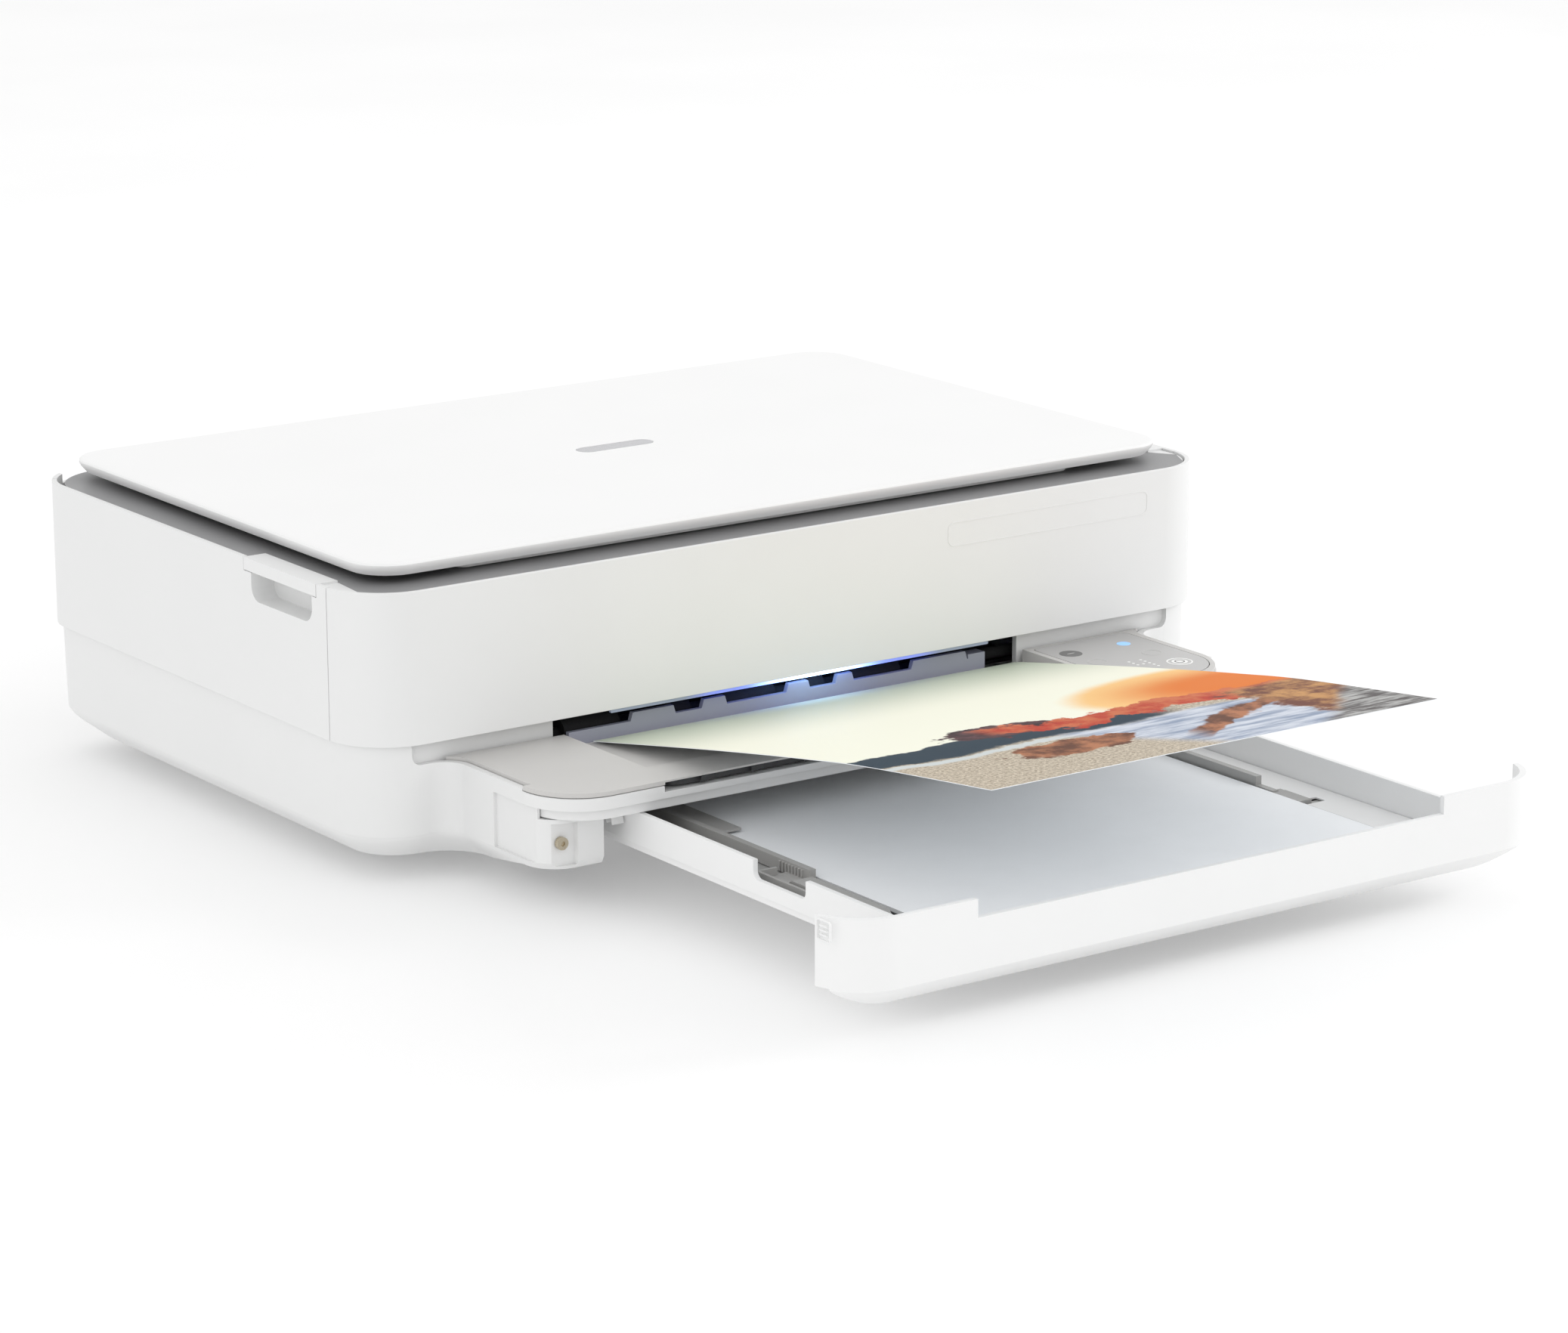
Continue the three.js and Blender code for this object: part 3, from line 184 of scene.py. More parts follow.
def rubber(name, colour):
    """Matt rubber with a fine rough surface and paler dust in its grain."""
    n = Nodes(name)
    fine = n.noise(1500.0, 3.0, 0.65)
    n.set(Base_Color=n.mix(n.step(fine, 0.4, 0.7), colour, tuple(c * 1.7 + 0.004 for c in colour)))
    n.set(Roughness=n.step(fine, 0.2, 0.8, 0.75, 0.95))
    n.set(Normal=n.bump(fine, 0.5, 0.00006))
    return n.mat


def paper(name, colour, sheets=False):
    """Office paper: fibres in the surface, and sheet edges down the side of a stack."""
    n = Nodes(name)
    fibre = n.noise(1.0, 4.0, 0.6, n.stretch(n.position, (1400, 700, 1400)))
    cloud = n.noise(60.0, 3.0)
    tint = n.mix(n.step(cloud, 0.3, 0.7), tuple(c * 0.985 for c in colour), colour)
    if sheets:
        layers = n.noise(1.0, 1.0, 0.5, n.stretch(n.position, (3, 3, 9000)))
        tint = n.mix(n.step(layers, 0.5, 0.62, 0.0, 0.35), tint, tuple(c * 0.72 for c in colour))
    n.set(Base_Color=tint, Roughness=n.step(fibre, 0.2, 0.8, 0.8, 0.92))
    n.set(Normal=n.bump(fibre, 0.3, 0.00002))
    return n.mat


def grey_with_painted_lit_side(name, inner, outer, limit):
    """Moulded plastic of one colour, and of another where x is more than the limit in metres; that other
    colour is painted light, for the side that strong light makes look white.
    """
    n = Nodes(name)
    fine = n.noise(2600.0, 2.0, 0.6)
    n.set(Base_Color=n.mix(n.step(n.split(n.position)[0], limit - 0.0001, limit), inner, outer))
    n.set(Roughness=n.step(fine, 0.2, 0.8, 0.42, 0.52), Normal=n.bump(fine, 0.5, 0.00003))
    return n.mat


def gloss(name, colour, rough):
    """Smooth printed or moulded mark with a faintly uneven gloss."""
    n = Nodes(name)
    wide = n.noise(90.0, 3.0)
    n.set(Base_Color=n.mix(n.step(wide, 0.35, 0.65), tuple(c * 0.95 for c in colour), colour))
    n.set(Roughness=n.step(wide, 0.3, 0.7, rough, rough + 0.06))
    return n.mat


def glowing(name, colour, strength, spread=None):
    """A lit diffuser. With spread = (left, right) in metres it fades towards both ends."""
    n = Nodes(name)
    n.set(Base_Color=(0.35, 0.4, 0.5), Roughness=0.3)
    if spread is None:
        n.set(Emission_Color=colour, Emission_Strength=strength)
        return n.mat
    deep_blue = (0.02, 0.07, 0.75)
    middle, reach = (spread[0] + spread[1]) / 2, (spread[1] - spread[0]) / 2
    x = n.split(n.position)[0]
    away = n.over(n.size(n.minus(x, middle)), reach)
    ripple = n.times(n.noise(40.0, 1.0), 0.15)
    core = n.step(n.add(away, ripple), 0.05, 0.85, 1.0, 0.0)
    fringe = n.step(away, 0.9, 1.25, 0.8, 0.02)
    n.set(Emission_Color=n.mix(core, deep_blue, colour))
    n.set(Emission_Strength=n.add(n.times(core, strength), fringe))
    return n.mat


def clear_glass(name):
    """Greenish glass with faint smears."""
    n = Nodes(name)
    smear = n.noise(18.0, 4.0, 0.6)
    n.set(Base_Color=(0.86, 0.93, 0.92), Transmission_Weight=0.92, IOR=1.5)
    n.set(Roughness=n.step(smear, 0.45, 0.75, 0.015, 0.07))
    return n.mat


def circuit_board(name):
    """Green lacquer with a pattern of copper lands."""
    n = Nodes(name)
    cells = n.tree.nodes.new("ShaderNodeTexVoronoi")
    n.feed(cells.inputs["Vector"], n.position)
    cells.inputs["Scale"].default_value = 260.0
    cells.distance = "MANHATTAN"
    copper = n.step(cells.outputs["Distance"], 0.05, 0.09, 1.0, 0.0)
    n.set(Base_Color=n.mix(copper, (0.02, 0.11, 0.05), (0.42, 0.34, 0.12)), Roughness=0.35)
    n.set(Normal=n.bump(cells.outputs["Distance"], 0.2, 0.00005))
    return n.mat


# Colours of the printed picture: one, or a darker and a lighter one that are mottled together. The sky's
# pair is blended along the sheet instead, and its darker colour, at the sheet's tail under the fascia, is
# painted shade.
SKY_WITH_PAINTED_SHADE = ((0.56, 0.62, 0.51), (0.93, 0.93, 0.79))
GLOW_RIM = (0.95, 0.60, 0.24)
GLOW = (0.78, 0.19, 0.010)
SAND = ((0.33, 0.27, 0.20), (0.70, 0.62, 0.50))
SEA = (0.012, 0.035, 0.06)
FOAM_LINE = (0.62, 0.66, 0.66)
SHALLOWS = ((0.27, 0.33, 0.45), (0.66, 0.70, 0.78))
HEADLAND = ((0.030, 0.010, 0.016), (0.13, 0.05, 0.06))
RED_RIDGE = ((0.50, 0.035, 0.012), (0.62, 0.16, 0.06))
ROCK = ((0.13, 0.045, 0.022), (0.47, 0.19, 0.09))
BANK = ((0.16, 0.05, 0.03), (0.58, 0.30, 0.11))
SHINGLE = ((0.10, 0.09, 0.09), (0.48, 0.48, 0.47))
PRINT_GLOSS = 0.03


def sunset_print(name):
    """Print of a generic beach at sunset: pale sky, low sun, headland, sand and shallow water.
    u runs across the sheet from left to right, v from its tail in the printer to its tip."""
    n = Nodes(name)
    u, v, _ = n.split(n.uv)
    wobble = n.minus(n.noise(5.0, 5.0, 0.6, n.uv), 0.5)
    rough = n.minus(n.noise(16.0, 5.0, 0.65, n.uv), 0.5)

    def before(value, low, high):
        """1 below low, and 0 above high."""
        return n.step(value, low, high, 1.0, 0.0)

    def between(value, start, started, stop, stopped):
        return n.times(n.step(value, start, started), before(value, stop, stopped))

    def mottled(pair, noise, low, high):
        return n.mix(n.step(noise, low, high), *pair)

    def away(centre, radii, shake):
        """Distance from an ellipse's centre, 1 at its edge, made ragged by shake."""
        du = n.over(n.minus(u, centre[0]), radii[0])
        dv = n.over(n.minus(v, centre[1]), radii[1])
        square = n.add(n.times(du, du), n.times(dv, dv))
        ragged = n.add(wobble, n.times(rough, 0.7))
        return n.add(n.math("SQRT", square), n.times(ragged, shake))

    def streak(about, slope, shake, half):
        """A sloping line through the point about, softened over 0.010 of the sheet's length."""
        line = n.minus(v, n.times(n.minus(u, about[0]), slope))
        off = n.size(n.add(n.minus(line, about[1]), shake))
        return before(off, half, half + 0.010)

    # Painted shade: the sky is darker towards the sheet's tail, under the fascia, and reaches its lighter
    # colour by v = 0.36.
    picture = n.mix(n.step(v, 0.0, 0.36), *SKY_WITH_PAINTED_SHADE)
    glow = away((0.95, 0.61), (0.38, 0.23), 0.06)
    picture = n.mix(before(glow, 0.82, 1.02), picture, GLOW_RIM)
    picture = n.mix(before(glow, 0.30, 0.90), picture, GLOW)

    shore = n.minus(n.add(v, n.times(wobble, 0.10)), 0.105)
    land = n.step(n.add(shore, n.times(u, 0.03)), 0.600, 0.612)
    picture = n.mix(land, picture, mottled(SAND, n.noise(170.0, 4.0, 0.7, n.uv), 0.35, 0.65))
    sea = n.times(between(shore, 0.555, 0.562, 0.640, 0.655), before(u, 0.60, 0.70))
    picture = n.mix(sea, picture, SEA)
    foam = n.times(between(shore, 0.650, 0.658, 0.672, 0.684), before(u, 0.35, 0.50))
    picture = n.mix(foam, picture, FOAM_LINE)

    beach_edge = n.minus(u, n.times(v, 0.55))
    water = n.times(n.step(shore, 0.635, 0.66), n.step(beach_edge, -0.06, 0.0))
    ripples = n.noise(1.0, 4.0, 0.6, n.stretch(n.uv, (7, 46, 1)))
    picture = n.mix(water, picture, mottled(SHALLOWS, ripples, 0.35, 0.65))

    headland = before(away((0.34, 0.635), (0.15, 0.075), 1.1), 0.75, 0.83)
    picture = n.mix(headland, picture, mottled(HEADLAND, rough, -0.1, 0.15))
    ridge = streak((0.5, 0.665), 0.10, n.times(n.add(wobble, rough), 0.14), 0.030)
    ridge = n.times(ridge, n.step(u, 0.30, 0.36))
    picture = n.mix(ridge, picture, mottled(RED_RIDGE, rough, -0.12, 0.12))
    rock = mottled(ROCK, rough, -0.12, 0.14)
    picture = n.mix(before(away((0.33, 0.835), (0.17, 0.075), 1.3), 0.72, 0.80), picture, rock)
    spit = streak((0.8, 0.80), -0.5, n.times(wobble, 0.18), 0.022)
    picture = n.mix(n.times(spit, n.step(u, 0.50, 0.58)), picture, rock)
    bank = n.times(n.step(n.minus(u, n.times(rough, 0.25)), 0.80, 0.84), n.step(v, 0.66, 0.70))
    picture = n.mix(bank, picture, mottled(BANK, rough, -0.12, 0.14))

    corner = n.add(n.add(n.times(u, 0.8), v), n.times(wobble, 0.12))
    streaks = n.noise(1.0, 4.0, 0.6, n.stretch(n.uv, (10, 60, 1)))
    shingle = mottled(SHINGLE, streaks, 0.38, 0.62)
    picture = n.mix(n.step(corner, 1.58, 1.62), picture, shingle)

    n.set(Base_Color=picture, Roughness=0.4, Specular_IOR_Level=PRINT_GLOSS)
    n.set(Normal=n.bump(n.noise(700.0, 2.0), 0.12, 0.00002))
    return n.mat


WHITE = plastic("white_moulding", (0.80, 0.803, 0.80), 0.42, mottle=0.006)
TRAY_WHITE = plastic("tray_white_moulding", (0.87, 0.872, 0.87), 0.42, mottle=0.006)
LID_WHITE = plastic(
    "lid_moulding", (0.88, 0.88, 0.878), 0.46, grain=1900.0, grain_depth=0.00004, mottle=0.004)
SHELF = plastic("shelf_moulding", (0.60, 0.59, 0.575), 0.45, grain=3200.0)
PANEL = plastic("panel_film", (0.52, 0.515, 0.51), 0.38, grain=3600.0, grain_depth=0.00001)
BEZEL = plastic("bezel_moulding", (0.27, 0.27, 0.275), 0.42)
EXTENDER = plastic("extender_moulding", (0.045, 0.046, 0.048), 0.42, mottle=0.05)
# Painted light: the tray floor is grey, and is painted pale right of x = 112.5 mm, where strong light
# makes that side look white.
TRAY_FLOOR = grey_with_painted_lit_side("tray_floor_painted_lit_side", (0.36, 0.36, 0.355), (0.88, 0.88, 0.875), limit=0.1125)
SILL = plastic("sill_moulding", (0.33, 0.34, 0.41), 0.4)
GUIDE = plastic("guide_moulding", (0.40, 0.395, 0.385), 0.42, mottle=0.01)
DARK = plastic("dark_moulding", (0.017, 0.018, 0.020), 0.42, mottle=0.12)
BLACK = plastic("black_moulding", (0.008, 0.008, 0.009), 0.5, mottle=0.15)
RUBBER = rubber("roller_rubber", (0.012, 0.012, 0.013))
STEEL = metal("plated_steel", (0.62, 0.63, 0.65), 0.30)
STEEL_Y = metal("ground_steel", (0.66, 0.67, 0.69), 0.26, "Y")
SCREW = metal("screw_steel", (0.62, 0.55, 0.42), 0.28, "Z")
ACETAL = plastic("acetal", (0.74, 0.73, 0.68), 0.32, grain=900.0, grain_depth=0.00001)
BOARD = circuit_board("circuit_board")
GLASS = clear_glass("float_glass")
STACK = paper("paper_stack", (0.925, 0.94, 0.955), sheets=True)
PAPER_BACK = paper("paper_back", (0.90, 0.93, 0.955))
FOAM = paper("lid_backing", (0.86, 0.86, 0.85))
PRINT = sunset_print("sunset_print")
SILVER = metal("badge_silver", (0.56, 0.56, 0.58), 0.24)
LED = glowing("led_strip", (0.42, 0.66, 1.0), 9.0, spread=(-0.052, 0.056))
LED_BAR = glowing("led_guide", (0.25, 0.45, 1.0), 5.0, spread=(-0.060, 0.060))
ICON_BLUE = glowing("icon_blue", (0.10, 0.46, 0.95), 0.75)
ICON_WHITE = gloss("icon_white", (0.95, 0.95, 0.94), 0.3)
ICON_DARK = gloss("icon_dark", (0.19, 0.19, 0.188), 0.4)
ICON_FAINT = gloss("icon_faint", (0.58, 0.575, 0.57), 0.3)


# ------------------------------------------------------------------ mesh finishing
def sharp_by_angle(angle):
    """Geometry nodes that mark every edge sharper than the angle, so that the rest shades smooth."""
    group = bpy.data.node_groups.new("sharp_by_angle", "GeometryNodeTree")
    group.interface.new_socket("Geometry", in_out="INPUT", socket_type="NodeSocketGeometry")
    group.interface.new_socket("Geometry", in_out="OUTPUT", socket_type="NodeSocketGeometry")
    start = group.nodes.new("NodeGroupInput")
    end = group.nodes.new("NodeGroupOutput")
    bend = group.nodes.new("GeometryNodeInputMeshEdgeAngle")
    over = group.nodes.new("FunctionNodeCompare")
    over.data_type = "FLOAT"
    over.operation = "GREATER_THAN"
    over.inputs[1].default_value = angle
    mark = group.nodes.new("GeometryNodeSetShadeSmooth")
    mark.domain = "EDGE"
    mark.inputs["Shade Smooth"].default_value = False
    group.links.new(start.outputs[0], mark.inputs["Geometry"])
    group.links.new(bend.outputs["Unsigned Angle"], over.inputs[0])
    group.links.new(over.outputs[0], mark.inputs["Selection"])
    group.links.new(mark.outputs[0], end.inputs[0])
    return group


SHARP_ANGLE = math.radians(34)
FLAT_ANGLE = math.radians(0.6)
WELD_REACH = 2e-6  # metres
SHARP = sharp_by_angle(SHARP_ANGLE)


def finish_edges(obj, width, weld=True, merge_flat=True):
    """Rounds the object's edges and shades it smooth between them. width is in millimetres."""
    mesh = obj.data
    if "custom_normal" in mesh.attributes:
        mesh.attributes.remove(mesh.attributes["custom_normal"])
    mesh.polygons.foreach_set("use_smooth", [True] * len(mesh.polygons))
    if weld:
        weld_mod = obj.modifiers.new("weld", "WELD")
        weld_mod.merge_threshold = WELD_REACH
    if weld and merge_flat:
        flat = obj.modifiers.new("flat", "DECIMATE")
        flat.decimate_type = "DISSOLVE"
        flat.angle_limit = FLAT_ANGLE
        flat.delimit = {"MATERIAL"}
    if width > 0:
        bevel = obj.modifiers.new("bevel", "BEVEL")
        bevel.width = width * MM
        bevel.segments = 2
        bevel.limit_method = "ANGLE"
        bevel.angle_limit = SHARP_ANGLE
        bevel.use_clamp_overlap = True
        bevel.miter_outer = "MITER_ARC"
    sharp = obj.modifiers.new("sharp", "NODES")
    sharp.node_group = SHARP
    even = obj.modifiers.new("even", "WEIGHTED_NORMAL")
    even.keep_sharp = True
    even.weight = 60


def paint(obj, *materials):
    """Gives the object these materials. Clearing an empty list would reset its faces' material."""
    if len(obj.data.materials):
        obj.data.materials.clear()
    for material in materials:
        obj.data.materials.append(material)


# node: (material, edge radius in millimetres)
LOOKS = {
    "lower_casing": (WHITE, 0.5), "front_fascia": (WHITE, 0.4), "side_panel_left": (WHITE, 0.35),
    "side_panel_right": (WHITE, 0.35), "rear_cover": (WHITE, 0.2), "power_button": (SHELF, 0.4),
    "wireless_button": (SHELF, 0.4), "foot_front_left": (RUBBER, 0.6), "foot_front_right": (RUBBER, 0.6),
    "foot_rear_left": (RUBBER, 0.6), "foot_rear_right": (RUBBER, 0.6), "arm_screw_left": (SCREW, 0.25),
    "arm_screw_right": (SCREW, 0.25), "power_inlet": (DARK, 0.2), "usb_port": (STEEL, 0.15),
    "output_shelf": (SHELF, 0.5), "shelf_trim": (WHITE, 0.35), "shelf_support": (WHITE, 0.6),
    "control_panel": (PANEL, 0.15), "extender_arm": (EXTENDER, 0.3), "output_sill": (SILL, 0.3),
    "light_bar": (LED_BAR, 0.2), "tray_front": (TRAY_WHITE, 0.5), "tray_base": (TRAY_WHITE, 0.35),
    "tray_floor": (TRAY_FLOOR, 0.1), "paper_stack": (STACK, 0.0), "guide_left": (GUIDE, 0.25),
    "guide_right": (GUIDE, 0.25), "guide_pinion": (ACETAL, 0.08), "scanner_housing": (BEZEL, 0.35),
    "scanner_glass": (GLASS, 0.1), "scan_rod": (STEEL, 0.2), "scan_bar": (DARK, 0.4),
    "lid_liner": (DARK, 0.2), "lid_pad": (FOAM, 0.5), "mechanism_deck": (DARK, 0.2),
    "side_frame_left": (STEEL_Y, 0.2), "side_frame_right": (STEEL_Y, 0.2), "feed_roller": (DARK, 0.08),
    "exit_roller": (RUBBER, 0.08), "idler_gear": (ACETAL, 0.08), "motor_pinion": (ACETAL, 0.08),
    "feed_motor": (STEEL, 0.5), "carriage_rail": (STEEL, 0.2), "carriage_belt": (RUBBER, 0.1),
    "drive_pulley": (ACETAL, 0.2), "idler_pulley": (ACETAL, 0.2), "carriage_motor": (STEEL_Y, 0.5),
    "print_carriage": (DARK, 0.4), "cartridge_black": (BLACK, 0.5), "cartridge_colour": (BLACK, 0.5),
    "cap_sled": (GUIDE, 0.3), "platen": (DARK, 0.15), "pick_shaft": (STEEL, 0.2), "pick_arm": (DARK, 0.4),
    "pick_roller": (RUBBER, 0.5), "main_board": (BOARD, 0.1), "power_supply": (BLACK, 0.5),
}
for node, (material, radius) in LOOKS.items():
    paint(NODES[node], material)
    finish_edges(NODES[node], radius, merge_flat=node != "rear_cover")

# The lift tabs at the scanner's sides are white; the rest of that moulding is grey.
TAB_INNER = 0.2054
TAB_BACK = 0.09
housing = NODES["scanner_housing"]
paint(housing, BEZEL, WHITE)
for face in housing.data.polygons:
    if abs(face.center.x) > TAB_INNER and face.center.y < TAB_BACK:
        face.material_index = 1


# ------------------------------------------------------------------ added pieces
def piece(name, bm, material, body, edge=0.0):
    """Makes an object from a bmesh, and lets it ride on a CAD body."""
    bmesh.ops.recalc_face_normals(bm, faces=bm.faces[:])
    mesh = bpy.data.meshes.new(name)
    bm.to_mesh(mesh)
    bm.free()
    obj = bpy.data.objects.new(name, mesh)
    bpy.context.scene.collection.objects.link(obj)
    paint(obj, *(material if isinstance(material, tuple) else (material,)))
    finish_edges(obj, edge, weld=False)
    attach(obj, body)
    return obj


def rounded_outline(x0, x1, y0, y1, r, steps=6):
    """Points round a rectangle with rounded corners, anticlockwise, in millimetres."""
    centres = ((x1 - r, y0 + r), (x1 - r, y1 - r), (x0 + r, y1 - r), (x0 + r, y0 + r))
    points = []
    for quarter, (cx, cy) in enumerate(centres):
        for i in range(steps + 1):
            a = math.radians(90 * (quarter - 1) + 90 * i / steps)
            points.append((cx + r * math.cos(a), cy + r * math.sin(a)))
    return points


def rectangle(x0, x1, y0, y1):
    return [(x0, y0), (x1, y0), (x1, y1), (x0, y1)]


def circle(cx, cy, rx, ry=None, steps=32):
    """Points round a circle, or round an ellipse where ry is given."""
    ry = ry or rx
    angles = [2 * math.pi * i / steps for i in range(steps)]
    return [(cx + rx * math.cos(a), cy + ry * math.sin(a)) for a in angles]


def slab(bm, outline, low, high, place):
    """Extrudes an outline from low to high. place turns (a, b, height) into a point."""
    bottom = [bm.verts.new(place(a, b, low)) for a, b in outline]
    top = [bm.verts.new(place(a, b, high)) for a, b in outline]
    bm.faces.new(bottom[::-1])
    bm.faces.new(top)
    for i in range(len(outline)):
        j = (i + 1) % len(outline)
        bm.faces.new((bottom[i], bottom[j], top[j], top[i]))


def ring(bm, outer, inner, low, high, place):
    """Extrudes the band between two outlines with equal numbers of points."""
    loops = [
        [bm.verts.new(place(a, b, h)) for a, b in line]
        for line, h in ((outer, low), (outer, high), (inner, high), (inner, low))
    ]
    count = len(outer)
    for one, two in zip(loops, loops[1:] + loops[:1]):
        for i in range(count):
            j = (i + 1) % count
            bm.faces.new((one[i], one[j], two[j], two[i]))


def on_top(a, b, h):
    return at(a, b, h)


def on_front(a, b, h):
    """a along X, b along Z, h measured forwards from the casing's front face."""
    return at(a, -h, b)


# Blank outline on the fascia where a badge would be.
OUTLINE = {"left": 70, "right": 178, "bottom": 102.9, "top": 113.5, "corner": 3.2, "line": 0.5}


def badge_outline(inset):
    return rounded_outline(
        OUTLINE["left"] + inset, OUTLINE["right"] - inset,
        OUTLINE["bottom"] + inset, OUTLINE["top"] - inset, OUTLINE["corner"] - inset)


bm = bmesh.new()
ring(bm, badge_outline(0), badge_outline(OUTLINE["line"]), low=-0.05, high=0.16, place=on_front)
piece("fascia_badge_outline", bm, WHITE, "base", edge=0.05)

# Lit strip under the fascia's lower edge.
STRIP_LEFT, STRIP_RIGHT = -100, 92
STRIP_BOTTOM, STRIP_TOP = 57.7, 59.4
bm = bmesh.new()
strip = rounded_outline(STRIP_LEFT, STRIP_RIGHT, STRIP_BOTTOM, STRIP_TOP, r=0.5, steps=3)
slab(bm, strip, low=-2.0, high=-0.5, place=on_front)
piece("led_lens", bm, LED, "base", edge=0.1)

# Control panel: lit icon, buttons and level dots. Places are (x, y) on the panel.
PANEL_TOP = 51.45
SUNK = 0.1  # how far the marks reach into the panel
MARK_EDGE = 0.04
LIT_ICON = (154.1, -14.3)
LEFT_BUTTON = (125.1, -14.4)
RIGHT_BUTTON = (154.3, -51.8)
UPPER_BUTTON = (154.3, -33.4)
LOWER_BUTTON = (125.5, -31.9)
# (x of the row, y of its first dot, number of dots)
DOT_ROWS = ((142.6, -40.0, 5), (139.4, -45.9, 1), (136.3, -39.9, 3))
DOT_PITCH = 3.0
DOT_RADIUS = 0.65


def panel_disc(name, place, r, material, height=0.12, ry=None):
    bm = bmesh.new()
    slab(bm, circle(*place, r, ry), PANEL_TOP - SUNK, PANEL_TOP + height, on_top)
    piece(name, bm, material, "base", edge=MARK_EDGE)


def panel_ring(name, place, r, width, material, height=0.12):
    bm = bmesh.new()
    outer, inner = circle(*place, r), circle(*place, r - width)
    ring(bm, outer, inner, PANEL_TOP - SUNK, PANEL_TOP + height, on_top)
    piece(name, bm, material, "base", edge=MARK_EDGE)


panel_disc("panel_lit_icon", LIT_ICON, 3.0, ICON_BLUE)
panel_disc("panel_button_left", LEFT_BUTTON, 5.0, ICON_DARK, height=0.1)
panel_disc("panel_button_left_mark", LEFT_BUTTON, 2.0, ICON_FAINT, height=0.16, ry=0.4)
panel_ring("panel_button_right_ring", RIGHT_BUTTON, 5.7, 0.7, ICON_WHITE)
panel_disc("panel_button_right", RIGHT_BUTTON, 3.5, ICON_WHITE)
panel_ring("panel_button_right_mark", RIGHT_BUTTON, 2.3, 0.6, ICON_DARK, height=0.2)
panel_ring("panel_button_upper", UPPER_BUTTON, 4.4, 0.35, ICON_FAINT)
panel_ring("panel_button_lower", LOWER_BUTTON, 4.4, 0.35, ICON_FAINT)
for row, (x, y, count) in enumerate(DOT_ROWS):
    for i in range(count):
        dot = (x, y - DOT_PITCH * i)
        panel_disc(f"panel_dot_{row}_{i}", dot, DOT_RADIUS, ICON_WHITE)

# Slanted webs along the front of the paper extender.
WEB_FRONT, WEB_BACK = -75.7, -73.8
WEB_BOTTOM, WEB_TOP = 47.9, 50.1
bm = bmesh.new()
for x in (-108.0, -84.0, -58.0):
    web = [(x, WEB_FRONT), (x + 1.2, WEB_FRONT), (x + 8.0, WEB_BACK), (x + 3.0, WEB_BACK)]
    slab(bm, web, WEB_BOTTOM, WEB_TOP, on_top)
piece("extender_webs", bm, EXTENDER, "extender", edge=0.1)


# Printed sheet: a thin, slightly dished sheet along the same line as the solid that it stands for.
SHEET_STATIONS = [(1.5, 46.9), (-65.5, 59.3), (-105, 66.3), (-145, 73), (-185, 79.1), (-262, 88)]
# half width, thickness and depth of the dish, and the numbers of faces across and along the sheet
SHEET = {"half": 108.0, "thick": 0.25, "dish": 0.315, "across": 24, "along": 60, "tip_steps": 8}


def sheet_line(steps):
    """Points (y, z) evenly along the sheet, through its known stations by Catmull-Rom."""
    spans = len(SHEET_STATIONS) - 1
    line = []
    for i in range(steps + 1):
        place = i / steps * spans
        k = min(int(place), spans - 1)
        t = place - k
        a, b, c, d = [Vector(SHEET_STATIONS[max(0, min(spans, k + near))]) for near in (-1, 0, 1, 2)]
        straight = (c - a) * t
        bend = (2 * a - 5 * b + 4 * c - d) * t * t
        twist = (3 * b - a - 3 * c + d) * t ** 3
        line.append(0.5 * (2 * b + straight + bend + twist))
    return line


def printed_sheet():
    """The printed side faces up and has the picture; the underside and the edges are plain paper."""
    across, along, half = SHEET["across"], SHEET["along"], SHEET["half"]
    line = sheet_line(along)
    reach = [0.0]
    for one, two in zip(line, line[1:]):
        reach.append(reach[-1] + (two - one).length)
    bm = bmesh.new()
    layer = bm.loops.layers.uv.new("UVMap")
    grids = []
    for lift in (0.0, SHEET["thick"]):
        rows = []
        for j, (y, z) in enumerate(line):
            v = reach[j] / reach[-1]
            most = SHEET["dish"] * min(1.0, (along - j) / SHEET["tip_steps"])
            row = []
            for i in range(across + 1):
                u = i / across
                sag = min(SHEET["dish"] * v * (1 - (2 * u - 1) ** 2), most)
                row.append((bm.verts.new(at(-half + 2 * half * u, y, z + lift - sag)), u, v))
            rows.append(row)
        grids.append(rows)
    for printed, rows in enumerate(grids):
        for j in range(along):
            for i in range(across):
                corners = [rows[j][i], rows[j][i + 1], rows[j + 1][i + 1], rows[j + 1][i]]
                if not printed:
                    corners.reverse()
                face = bm.faces.new([corner[0] for corner in corners])
                face.material_index = 0 if printed else 1
                for loop, (_, u, v) in zip(face.loops, corners):
                    loop[layer].uv = (u, v)
    low, high = grids
    rim = [(0, i) for i in range(across)] + [(j, across) for j in range(along)]
    rim += [(along, i) for i in range(across, 0, -1)] + [(j, 0) for j in range(along, 0, -1)]
    for (a, b), (c, d) in zip(rim, rim[1:] + rim[:1]):
        face = bm.faces.new((low[a][b][0], low[c][d][0], high[c][d][0], high[a][b][0]))
        face.material_index = 1
    return piece("printed_sheet_paper", bm, (PRINT, PAPER_BACK), "base")


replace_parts(printed_sheet(), "printed_sheet")


